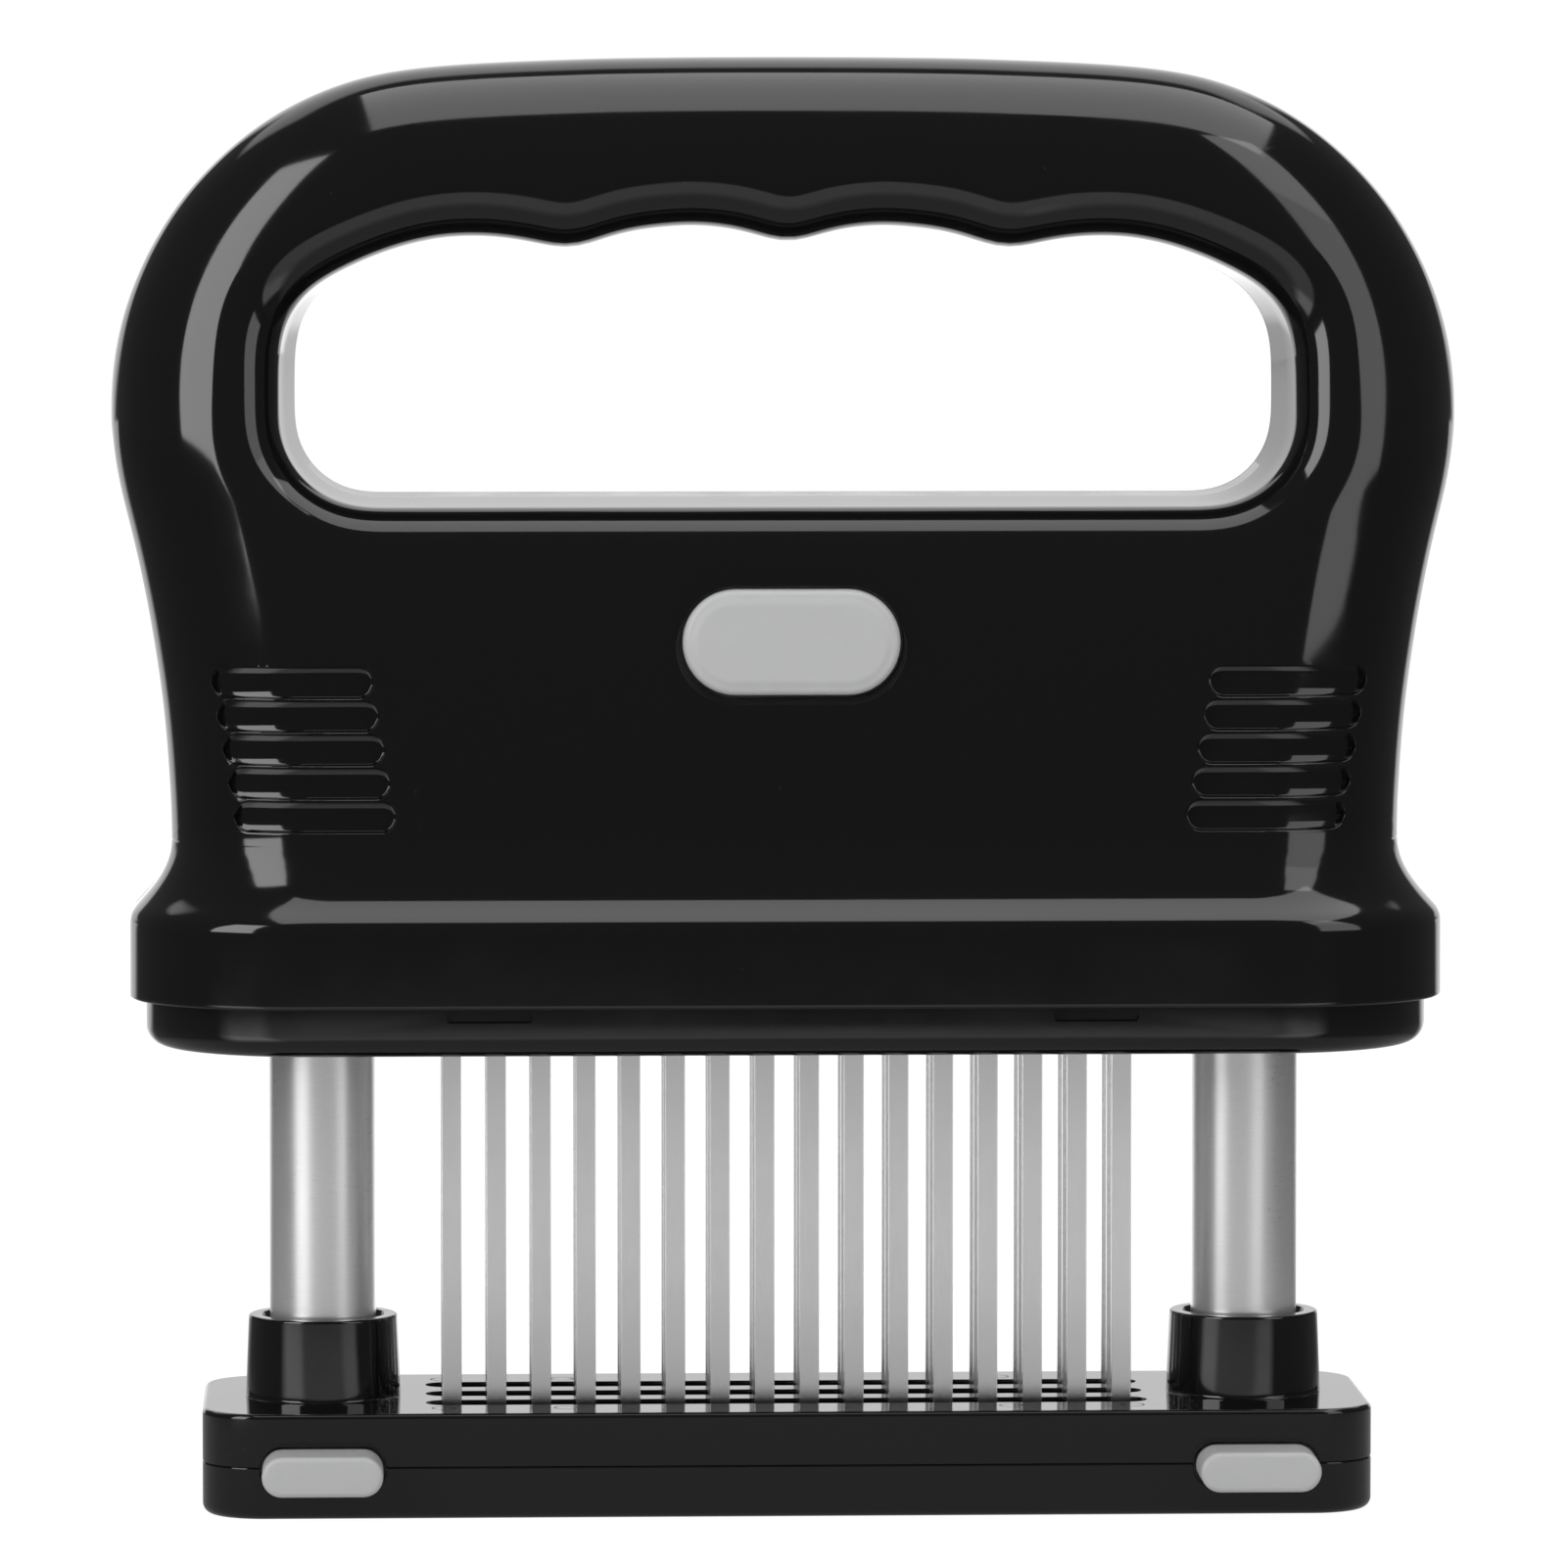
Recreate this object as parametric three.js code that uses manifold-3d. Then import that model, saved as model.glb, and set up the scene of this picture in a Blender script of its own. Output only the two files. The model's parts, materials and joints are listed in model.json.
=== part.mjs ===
// A press-down meat tenderizer: three rows of blades under a D-shaped handle, which slides on two sprung
// rods that stand in a slotted base plate. Millimetres, +Z up, front towards -Y, origin under the middle of
// the base.
import * as THREE from "three";
import { mergeVertices } from "three/addons/utils/BufferGeometryUtils.js";
import Module from "manifold-3d";

const wasm = await Module();
wasm.setup();

// Clearances
const runningGap = 0.3;
const cutOverrun = 6;

// Blades
const bladesPerRow = 16;
const bladePitch = 5.03;
const bladeWidth = 2.2;
const bladeThickness = 1;
const bladePointHeight = 5;
const bladeTipFlat = 0.4;
const rowPitch = 8;
const rowSides = [-1, 0, 1];
const rowNames = ["front", "middle", "rear"];
const spineHeight = 9;
const spineSeat = 1.5;

// Base plate
const slotWidth = 4.2;
const slotEndRoom = 1.7;
const slotToRod = 11.7;
const rodToBaseEnd = 13.5;
const slotToBaseEdge = 7.9;
const slotBlockMargin = 2;
const baseLowerHeight = 5.85;
const baseUpperHeight = 6;
const baseCornerRadius = 7;
const baseWall = 2;
const baseFloor = 2;
const baseTopWall = 2.2;
const baseBottomFillet = 1.2;
const baseTopFillet = 0.6;
const socketHeight = 9.25;
const socketTopRadius = 8.3;
const socketBaseRadius = 8.7;
const socketMouthChamfer = 0.9;
const clipBedWall = 2.2;

// Base buttons
const baseButtonWidth = 13.5;
const baseButtonHeight = 4.5;
const baseButtonFloorGap = 1.4;
const baseButtonProud = 6.8;
const baseButtonChamfer = 0.5;
const baseButtonGap = 0.4;
const baseButtonFlange = 0.75;
const baseButtonFlangeThickness = 1.2;
const prongTipWidth = 1;
const prongRootWidth = 3.4;
const prongTaper = 1.9;
const prongToClip = 0.5;

// Rods, their plugs, stop rings, clips and springs
const rodRadius = 6;
const rodBoreRadius = 4.7;
const plugLength = 11.7;
const plugSpigotLength = 6;
const plugTipChamfer = 1;
const plugGrooveDepth = 1;
const clipWireRadius = 0.7;
const clipLegLength = 11.5;
const clipBendShare = 1 / 3;
const rodInHandle = 21.6;
const stopRingRadius = 8.2;
const stopRingThickness = 1.6;
const stopGrooveDepth = 0.6;
const springWireRadius = 0.6;
const springCurls = 12;
const guidePinRadius = 2.6;
const guidePinLength = 20;
const guidePinHeadRadius = 6.8;
const guidePinHeadThickness = 2;

// Travel of the handle
const pressTravel = 30;
const pressEndRoom = 1.3;

// Bottom cover and guide bushes
const coverHeight = 5.35;
const coverFloor = 2.4;
const coverWall = 2.2;
const coverFillet = 2.4;
const rodToCoverEnd = 19.7;
const cartridgeToCoverEdge = 13.3;
const coverCornerRadius = 19;
const snapWindowWidth = 9.3;
const snapWindowHeight = 1.4;
const snapWindowX = 33.6;
const bushWall = 1.3;
const bushFlange = 1;
const bushFlangeThickness = 1.6;
const bushGuideLength = 4.6;

// Handle body, by height above the bottom cover
const collarOverhang = 1.8;
const collarDepthOverhang = 1;
const collarHeight = 9.05;
const collarFillet = 0.9;
const collarCornerRadius = 20;
const ogeeHeight = 8.7;
const ogeeInset = 4.65;
const ogeeDepthInset = 5;
const waistCornerRadius = 18;
const flareHeight = 47.7;
const flareOut = 6.7;
const crownHeight = 39.8;
const gripHalfDepth = 14.5;
const gripCornerRadius = 14;
const crownRound = 11.5;
const shellWall = 2.4;

// Hand opening
const rodToOpeningSide = 2.875;
const openingFloorAboveOgee = 38.6;
const openingCornerRadius = 8;
const openingDraft = 1.6;
const openingEdgeRound = 5.7;
const gripUndersideRise = 29;
const fingerPitch = 24.75;
const fingerDepth = 1;
const gripSag = 1.6;
const gripSagShare = 0.31;
const openingShoulderWidth = 14.4;
const openingShoulderHeight = 12.8;

// Vents on the front of the body
const ventCount = 5;
const ventWidth = 17.9;
const ventHeight = 3.3;
const ventPitch = 3.72;
const ventDepth = 1;
const ventTopX = 55.3;
const ventLean = 0.62;
const ventFirstAboveOgee = 1.7;

// Release button and cartridge catch
const releaseWidth = 24.2;
const releaseHeight = 11.75;
const releaseAboveOgee = 22.65;
const releaseProud = 1.2;
const releaseChamfer = 0.8;
const releaseFlange = 1.2;
const releaseFlangeThickness = 1.2;
const catchThickness = 0.6;
const catchWidth = 8;
const catchFootHeight = 4.4;
const catchJogHeight = 8;
const catchJogAboveLip = 9;
const catchLip = 1.3;

// Blade cartridge
const blockEndWall = 1.5;
const blockSideWall = 4.7;
const clampThickness = 2.6;
const blockTopWall = 3.7;
const catchPostThickness = 1.2;
const catchPostHeight = 6;
const catchPostWidth = 14;
const catchWindowFoot = 1.4;

// Screws
const screwGap = 0.3;
const baseScrew = { shank: 1.1, head: 2.1, headThickness: 1.4, length: 7.8, sink: 0.8, post: 2.9 };
const coverScrew = { shank: 1.3, head: 2.4, headThickness: 1.5, length: 13, sink: 0.4, post: 3.2 };
const shellScrew = { shank: 1.4, head: 2.7, headThickness: 1.8, length: 17, post: 4.4 };
const clampScrew = { shank: 1.2, head: 2.2, headThickness: 1.3, length: 9, sink: 0.3 };
const catchScrew = { shank: 1.1, head: 2.1, headThickness: 1.2, length: 3.4 };
const baseScrewFromSlotEnd = 10.5;
const coverScrewFromBlockEnd = 12.4;
const coverScrewFromEdge = 6;
const clampScrewFromBlockEnd = 14.9;
const shellSeatY = 8;
const bodyScrewInsideRod = 17.7;
const barScrewFromSide = 23.1;
const shellBossWall = 1.6;

// How finely round shapes are divided
const cornerSteps = 4;
const filletSteps = 2;
const roundSides = 16;
const screwSides = 8;
const springStepsPerCurl = 6;
const springSides = 4;
const wireSides = 5;
const clipSteps = 14;

// Shapes of the side profile, as shares of its heights and widths
const ogeeShares = [[0.12, 0.12], [0.4, 0.57], [0.66, 0.85], [1, 1]];
const flareShares = [
  [0.16, 0.06], [0.3, 0.135], [0.49, 0.32], [0.675, 0.58], [0.813, 0.84], [0.908, 0.963], [1, 1],
];
const crownShares = [
  [0.22, 0.988], [0.44, 0.946], [0.553, 0.912], [0.663, 0.865], [0.774, 0.803],
  [0.857, 0.737], [0.925, 0.662], [0.96, 0.6], [0.98, 0.52], [1, 0.35],
];
const depthShares = [[0, 0], [0.28, 0.08], [0.42, 0.25], [0.6, 0.5], [0.8, 0.85], [1, 1]];
const gripStartShare = 0.67;

// Places that follow from the sizes, across
const bladeHalfSpan = ((bladesPerRow - 1) * bladePitch + bladeWidth) / 2;
const slotHalf = bladeHalfSpan + slotEndRoom;
const rodX = slotHalf + slotToRod;
const baseHalfWidth = rodX + rodToBaseEnd;
const clampSlotHalf = bladeHalfSpan + runningGap;
const spineHalf = clampSlotHalf + spineSeat;
const blockHalfWidth = spineHalf + runningGap + blockEndWall;
const coverHalfWidth = rodX + rodToCoverEnd;
const collarHalfWidth = coverHalfWidth + collarOverhang;
const waistHalfWidth = collarHalfWidth - ogeeInset;
const widestHalfWidth = waistHalfWidth + flareOut;
const openingHalfWidth = rodX + rodToOpeningSide;

// Depth
const clipBendY = clipLegLength * clipBendShare;
const clipFront = clipBendY - clipLegLength;
const baseHalfDepth = rowPitch + slotWidth / 2 + slotToBaseEdge;
const slotBlockHalfDepth = rowPitch + slotWidth / 2 + slotBlockMargin;
const blockHalfDepth = rowPitch + blockSideWall;
const coverHalfDepth = blockHalfDepth + cartridgeToCoverEdge;
const collarHalfDepth = coverHalfDepth + collarDepthOverhang;
const waistHalfDepth = collarHalfDepth - ogeeDepthInset;

// Height
const baseTop = baseLowerHeight + baseUpperHeight;
const socketTop = baseTop + socketHeight;
const coverBottom = socketTop + pressTravel + pressEndRoom;
const coverFloorTop = coverBottom + coverFloor;
const shellBottom = coverBottom + coverHeight;
const ogeeBottom = shellBottom + collarHeight;
const ogeeTop = ogeeBottom + ogeeHeight;
const widestHeight = ogeeTop + flareHeight;
const crownTop = widestHeight + crownHeight;
const openingFloor = ogeeTop + openingFloorAboveOgee;
const gripUnderside = openingFloor + gripUndersideRise;
const ceiling = openingFloor - openingDraft - shellWall;
const baseButtonZ = baseFloor + baseButtonFloorGap + baseButtonHeight / 2;
const socketBottom = baseButtonZ + clipWireRadius + runningGap;
const plugBottom = baseFloor + runningGap;
const rodBottom = plugBottom + plugLength;
const spigotTop = rodBottom + plugSpigotLength;
const rodTop = coverBottom + rodInHandle;
const bushTop = coverFloorTop + bushFlangeThickness + bushGuideLength;
const bushOuterRadius = rodRadius + runningGap + bushWall;
const stopRingBottom = bushTop + runningGap;
const guidePinTop = ceiling - runningGap;
const guidePinHeadBottom = guidePinTop - guidePinHeadThickness;
const springBottom = spigotTop + runningGap;
const springTop = guidePinHeadBottom - runningGap;
const clampTop = coverBottom + clampThickness;
const spineTop = clampTop + spineHeight;
const blockTop = spineTop + runningGap + blockTopWall;
const bladeTip = baseFloor + 2 * runningGap;
const releaseZ = ogeeTop + releaseAboveOgee;
const lipTop = blockTop + catchWindowFoot + 2 * runningGap + catchThickness;

// Finishes
const blackPlastic = () => new THREE.MeshStandardMaterial({ color: 0x111213, roughness: 0.16, metalness: 0 });
const greyPlastic = () => new THREE.MeshStandardMaterial({ color: 0xb3b4b3, roughness: 0.35, metalness: 0 });
const innerPlastic = () => new THREE.MeshStandardMaterial({ color: 0x2a2b2c, roughness: 0.5, metalness: 0 });
const whitePlastic = () => new THREE.MeshStandardMaterial({ color: 0xd8d8d4, roughness: 0.45, metalness: 0 });
const brushedSteel = () => new THREE.MeshStandardMaterial({ color: 0xb7b8ba, roughness: 0.3, metalness: 1 });
const bladeSteel = () => new THREE.MeshStandardMaterial({ color: 0xa6a8aa, roughness: 0.25, metalness: 1 });
const springSteel = () => new THREE.MeshStandardMaterial({ color: 0x8d8f92, roughness: 0.35, metalness: 1 });

// Solids from three.js geometry, joined and cut
function solidOf(geometry) {
  geometry.deleteAttribute("normal");
  geometry.deleteAttribute("uv");
  const merged = mergeVertices(geometry);
  return new wasm.Manifold(new wasm.Mesh({
    numProp: 3,
    vertProperties: merged.attributes.position.array,
    triVerts: new Uint32Array(merged.index.array),
  }));
}

function meshOf(name, solid, material) {
  const { vertProperties, triVerts } = solid.getMesh();
  const geometry = new THREE.BufferGeometry();
  geometry.setAttribute("position", new THREE.BufferAttribute(vertProperties, 3));
  geometry.setIndex(new THREE.BufferAttribute(triVerts, 1));
  geometry.computeVertexNormals();
  const mesh = new THREE.Mesh(geometry, material);
  mesh.name = name;
  return mesh;
}

const joined = (solids) => solids.reduce((whole, solid) => whole.add(solid));

// Outlines
function roundedOutline(halfWidth, halfDepth, radius, steps = cornerSteps) {
  const corners = [[1, -1], [1, 1], [-1, 1], [-1, -1]];
  const points = [];
  corners.forEach(([sideX, sideY], corner) => {
    for (let step = 0; step <= steps; step += 1) {
      const angle = (corner - 1 + step / steps) * Math.PI / 2;
      const x = sideX * (halfWidth - radius) + radius * Math.cos(angle);
      const y = sideY * (halfDepth - radius) + radius * Math.sin(angle);
      points.push(new THREE.Vector2(x, y));
    }
  });
  return points;
}

function stadiumOutline(width, height, grow = 0) {
  const radius = height / 2 + grow;
  const reach = (width - height) / 2;
  const points = [];
  for (const side of [1, -1]) {
    for (let step = 0; step <= 2 * cornerSteps; step += 1) {
      const angle = (step / (2 * cornerSteps) - 1 / 2) * Math.PI + (side < 0 ? Math.PI : 0);
      points.push(new THREE.Vector2(side * reach + radius * Math.cos(angle), radius * Math.sin(angle)));
    }
  }
  return points;
}

// Solids of one section, upright or from front to back
function extruded(outline, depth) {
  return new THREE.ExtrudeGeometry(new THREE.Shape(outline), { depth, bevelEnabled: false });
}

function uprightPrism(outline, bottom, top, x = 0, y = 0) {
  return solidOf(extruded(outline, top - bottom).translate(x, y, bottom));
}

function levelPrism(outline, front, back, x = 0, z = 0) {
  return solidOf(extruded(outline, back - front).rotateX(Math.PI / 2).translate(x, back, z));
}

function box(halfWidth, front, back, bottom, top, x = 0) {
  const geometry = new THREE.BoxGeometry(2 * halfWidth, back - front, top - bottom);
  return solidOf(geometry.translate(x, (front + back) / 2, (bottom + top) / 2));
}

function uprightCylinder(radius, bottom, top, x = 0, y = 0, sides = roundSides) {
  const geometry = new THREE.CylinderGeometry(radius, radius, top - bottom, sides);
  return solidOf(geometry.rotateX(Math.PI / 2).translate(x, y, (bottom + top) / 2));
}

function levelCylinder(radius, front, back, x, z, sides = screwSides) {
  const geometry = new THREE.CylinderGeometry(radius, radius, back - front, sides);
  return solidOf(geometry.translate(x, (front + back) / 2, z));
}

// A turned solid: its profile is a list of radius and height, and it starts and ends on the axis or closes
// on itself
function turned(profile, sides = roundSides) {
  const points = profile.map(([radius, height]) => new THREE.Vector2(radius, height));
  return solidOf(new THREE.LatheGeometry(points, sides).rotateX(Math.PI / 2));
}

const closedTurned = (profile, sides) => turned([...profile, profile[0]], sides);

// A solid through rings of points, each ring with as many points, counterclockwise seen from its last ring
function lofted(rings) {
  const count = rings[0].length;
  const positions = rings.flat().flatMap((point) => [point.x, point.y, point.z]);
  const index = [];
  for (let ring = 0; ring + 1 < rings.length; ring += 1) {
    for (let k = 0; k < count; k += 1) {
      const a = ring * count + k;
      const b = ring * count + (k + 1) % count;
      index.push(a, b, b + count, a, b + count, a + count);
    }
  }
  const cap = (ring) => THREE.ShapeUtils.triangulateShape(ring.map((p) => new THREE.Vector2(p.x, p.y)), []);
  const last = (rings.length - 1) * count;
  cap(rings[0]).forEach(([a, b, c]) => index.push(a, c, b));
  cap(rings[rings.length - 1]).forEach(([a, b, c]) => index.push(last + a, last + b, last + c));
  const geometry = new THREE.BufferGeometry();
  geometry.setAttribute("position", new THREE.Float32BufferAttribute(positions, 3));
  geometry.setIndex(index);
  return geometry;
}

const ringAt = (outline, z) => outline.map((point) => new THREE.Vector3(point.x, point.y, z));

// A tube along a curve
class PathCurve extends THREE.Curve {
  constructor(pointAt) {
    super();
    this.pointAt = pointAt;
  }

  getPoint(t, target = new THREE.Vector3()) {
    return target.copy(this.pointAt(t));
  }
}

function tube(pointAt, radius, sides, steps) {
  const section = new THREE.Shape();
  for (let k = 0; k < sides; k += 1) {
    const angle = k / sides * 2 * Math.PI;
    const move = k === 0 ? "moveTo" : "lineTo";
    section[move](radius * Math.cos(angle), radius * Math.sin(angle));
  }
  const path = new PathCurve(pointAt);
  return solidOf(new THREE.ExtrudeGeometry(section, { extrudePath: path, steps, bevelEnabled: false }));
}

// A screw with its head's seat at height 0, its head below and its shank up
function screwProfile({ shank, head, headThickness, length }) {
  return [[0, -headThickness], [head, -headThickness], [head, 0], [shank, 0], [shank, length], [0, length]];
}

const screwSolid = (screw) => turned(screwProfile(screw), screwSides);

function screwHoles(screw, seat, x, y, opensAt) {
  const tip = seat + screw.length + screwGap;
  const shank = uprightCylinder(screw.shank + screwGap, opensAt, tip, x, y, screwSides);
  const recess = uprightCylinder(screw.head + screwGap, opensAt, seat, x, y, screwSides);
  return shank.add(recess);
}

function fourCorners(x, y) {
  return [["front_left", -x, -y], ["front_right", x, -y], ["back_left", -x, y], ["back_right", x, y]];
}

// Base plate
const baseScrewX = slotHalf - baseScrewFromSlotEnd;
const baseScrewY = baseHalfDepth - baseWall - baseScrew.post + runningGap;
const baseScrewSeat = baseScrew.sink + baseScrew.headThickness;

function basePlateRing(inset, z) {
  return ringAt(roundedOutline(baseHalfWidth - inset, baseHalfDepth - inset, baseCornerRadius - inset), z);
}

function filletRings(radius, ring, edge, towards) {
  const rings = [];
  for (let step = 0; step < filletSteps; step += 1) {
    const angle = step / filletSteps * Math.PI / 2;
    rings.push(ring(radius * (1 - Math.sin(angle)), edge + towards * radius * (1 - Math.cos(angle))));
  }
  return rings;
}

function baseCavity(bottom, top) {
  const radius = baseCornerRadius - baseWall;
  const inside = roundedOutline(baseHalfWidth - baseWall, baseHalfDepth - baseWall, radius);
  const block = box(slotHalf + slotBlockMargin, -slotBlockHalfDepth, slotBlockHalfDepth, bottom - cutOverrun,
    top + cutOverrun);
  return uprightPrism(inside, bottom, top).subtract(block);
}

function baseSlots() {
  const outline = stadiumOutline(2 * slotHalf, slotWidth);
  const top = baseTop + cutOverrun;
  return joined(rowSides.map((row) => uprightPrism(outline, -cutOverrun, top, 0, row * rowPitch)));
}

function baseButtonHoles() {
  const outline = stadiumOutline(baseButtonWidth, baseButtonHeight, baseButtonGap);
  const back = -baseHalfDepth + baseWall + runningGap;
  const front = -baseHalfDepth - cutOverrun;
  return joined([-1, 1].map((side) => levelPrism(outline, front, back, side * rodX, baseButtonZ)));
}

function baseScrewPosts(bottom, top) {
  const corners = fourCorners(baseScrewX, baseScrewY);
  return joined(corners.map(([, x, y]) => uprightCylinder(baseScrew.post, bottom, top, x, y)));
}

function baseScrewHoles() {
  const corners = fourCorners(baseScrewX, baseScrewY);
  return joined(corners.map(([, x, y]) => screwHoles(baseScrew, baseScrewSeat, x, y, -cutOverrun)));
}

function baseLowerShell() {
  const bottomFillet = filletRings(baseBottomFillet, basePlateRing, 0, 1);
  const straight = [basePlateRing(0, baseBottomFillet), basePlateRing(0, baseLowerHeight)];
  const outer = lofted([...bottomFillet, ...straight]);
  const bedTop = baseButtonZ - clipWireRadius - runningGap;
  const beds = joined([-1, 1].map((side) => closedTurned([
    [rodRadius + runningGap, baseFloor - runningGap],
    [rodRadius + runningGap + clipBedWall, baseFloor - runningGap],
    [rodRadius + runningGap + clipBedWall, bedTop],
    [rodRadius + runningGap, bedTop],
  ]).translate([side * rodX, 0, 0])));
  return solidOf(outer)
    .subtract(baseCavity(baseFloor, baseLowerHeight + cutOverrun))
    .add(beds)
    .add(baseScrewPosts(baseFloor - runningGap, baseLowerHeight))
    .subtract(baseSlots())
    .subtract(baseButtonHoles())
    .subtract(baseScrewHoles());
}

function socketProfile() {
  const bore = rodRadius + runningGap;
  return [
    [bore, socketBottom],
    [socketBaseRadius, socketBottom],
    [socketBaseRadius, baseTop],
    [socketTopRadius, socketTop],
    [bore + socketMouthChamfer, socketTop],
    [bore, socketTop - socketMouthChamfer],
  ];
}

function baseUpperShell() {
  const topFillet = filletRings(baseTopFillet, basePlateRing, baseTop, -1).reverse();
  const straight = [basePlateRing(0, baseLowerHeight), basePlateRing(0, baseTop - baseTopFillet)];
  const outer = lofted([...straight, ...topFillet]);
  const bore = (x) => uprightCylinder(rodRadius + runningGap, 0, socketTop, x);
  const bores = bore(-rodX).add(bore(rodX));
  const sockets = joined([-1, 1].map((side) => closedTurned(socketProfile()).translate([side * rodX, 0, 0])));
  return solidOf(outer)
    .subtract(baseCavity(baseLowerHeight - cutOverrun, baseTop - baseTopWall))
    .add(baseScrewPosts(baseLowerHeight, baseTop - baseTopFillet))
    .subtract(bores)
    .add(sockets)
    .subtract(baseSlots())
    .subtract(baseButtonHoles())
    .subtract(baseScrewHoles());
}

// Base button, about the rod's axis: a stadium cap, a flange behind the wall and two prongs for the clip
function cappedStadium(width, height, front, back, chamfer) {
  const rings = [
    ringAt(stadiumOutline(width, height), -back),
    ringAt(stadiumOutline(width, height), -front - chamfer),
    ringAt(stadiumOutline(width, height, -chamfer), -front),
  ];
  return solidOf(lofted(rings).rotateX(Math.PI / 2));
}

function baseButton() {
  const front = -baseHalfDepth - baseButtonProud;
  const flangeFront = -baseHalfDepth + baseWall + runningGap;
  const flangeBack = flangeFront + baseButtonFlangeThickness;
  const cap = cappedStadium(baseButtonWidth, baseButtonHeight, front, flangeFront, baseButtonChamfer);
  const flangeOutline = stadiumOutline(baseButtonWidth, baseButtonHeight, baseButtonFlange);
  const flange = levelPrism(flangeOutline, flangeFront, flangeBack);
  const innerX = rodRadius - plugGrooveDepth - prongTipWidth;
  const prongEnd = clipFront - prongToClip;
  const prongOutline = [
    new THREE.Vector2(innerX, flangeBack),
    new THREE.Vector2(innerX + prongRootWidth, flangeBack),
    new THREE.Vector2(innerX + prongRootWidth, prongEnd - prongTaper),
    new THREE.Vector2(innerX + prongTipWidth, prongEnd),
    new THREE.Vector2(innerX, prongEnd),
  ];
  const mirrored = prongOutline.map((point) => new THREE.Vector2(-point.x, point.y)).reverse();
  const prong = (outline) => uprightPrism(outline, -clipWireRadius, clipWireRadius);
  return joined([cap, flange, prong(prongOutline), prong(mirrored)]).translate([0, 0, baseButtonZ]);
}

// Wire clip round the plug's groove, open to the front
function rodClip() {
  const legX = rodRadius - plugGrooveDepth + runningGap + clipWireRadius;
  const bendLength = Math.PI * legX;
  const length = 2 * clipLegLength + bendLength;
  const pointAt = (t) => {
    const along = t * length;
    if (along < clipLegLength) {
      return new THREE.Vector3(-legX, clipFront + along, 0);
    }
    if (along > clipLegLength + bendLength) {
      return new THREE.Vector3(legX, clipBendY - (along - clipLegLength - bendLength), 0);
    }
    const angle = Math.PI - (along - clipLegLength) / legX;
    return new THREE.Vector3(legX * Math.cos(angle), clipBendY + legX * Math.sin(angle), 0);
  };
  return tube(pointAt, clipWireRadius, wireSides, clipSteps).translate([0, 0, baseButtonZ]);
}

// Rod, plug, stop ring, spring and guide pin, about the rod's axis
function rodTube() {
  const grooveBottom = stopRingBottom - runningGap;
  const grooveTop = stopRingBottom + stopRingThickness + runningGap;
  return closedTurned([
    [rodBoreRadius, rodBottom], [rodRadius, rodBottom],
    [rodRadius, grooveBottom], [rodRadius - stopGrooveDepth, grooveBottom],
    [rodRadius - stopGrooveDepth, grooveTop], [rodRadius, grooveTop],
    [rodRadius, rodTop], [rodBoreRadius, rodTop],
  ]);
}

function rodPlug() {
  const grooveBottom = baseButtonZ - clipWireRadius - runningGap;
  const grooveTop = baseButtonZ + clipWireRadius + runningGap;
  const grooveRadius = rodRadius - plugGrooveDepth;
  const spigotRadius = rodBoreRadius - runningGap;
  return turned([
    [0, plugBottom], [rodRadius - plugTipChamfer, plugBottom], [rodRadius, plugBottom + plugTipChamfer],
    [rodRadius, grooveBottom], [grooveRadius, grooveBottom],
    [grooveRadius, grooveTop], [rodRadius, grooveTop],
    [rodRadius, rodBottom], [spigotRadius, rodBottom], [spigotRadius, spigotTop], [0, spigotTop],
  ]);
}

function stopRing() {
  const inner = rodRadius - stopGrooveDepth + runningGap;
  const top = stopRingBottom + stopRingThickness;
  return closedTurned([
    [inner, stopRingBottom], [stopRingRadius, stopRingBottom], [stopRingRadius, top], [inner, top],
  ]);
}

function mainSpring() {
  const radius = rodBoreRadius - runningGap - springWireRadius;
  const bottom = springBottom + springWireRadius;
  const height = springTop - springBottom - 2 * springWireRadius;
  const pointAt = (t) => {
    const angle = t * springCurls * 2 * Math.PI;
    return new THREE.Vector3(radius * Math.cos(angle), radius * Math.sin(angle), bottom + t * height);
  };
  return tube(pointAt, springWireRadius, springSides, springCurls * springStepsPerCurl);
}

function guidePin() {
  const bottom = guidePinHeadBottom - guidePinLength;
  return turned([
    [0, bottom], [guidePinRadius, bottom], [guidePinRadius, guidePinHeadBottom],
    [guidePinHeadRadius, guidePinHeadBottom], [guidePinHeadRadius, guidePinTop], [0, guidePinTop],
  ]);
}

// Bottom cover of the handle, a tray with a window for the cartridge, and its guide bushes
const coverScrewX = blockHalfWidth - coverScrewFromBlockEnd;
const coverScrewY = coverHalfDepth - coverScrewFromEdge;
const coverScrewSeat = coverBottom + coverScrew.sink + coverScrew.headThickness;

function coverRing(inset, z) {
  return ringAt(roundedOutline(coverHalfWidth - inset, coverHalfDepth - inset, coverCornerRadius - inset), z);
}

function coverWindow() {
  const grow = runningGap;
  return box(blockHalfWidth + grow, -blockHalfDepth - grow, blockHalfDepth + grow, coverBottom - cutOverrun,
    shellBottom + cutOverrun);
}

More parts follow.
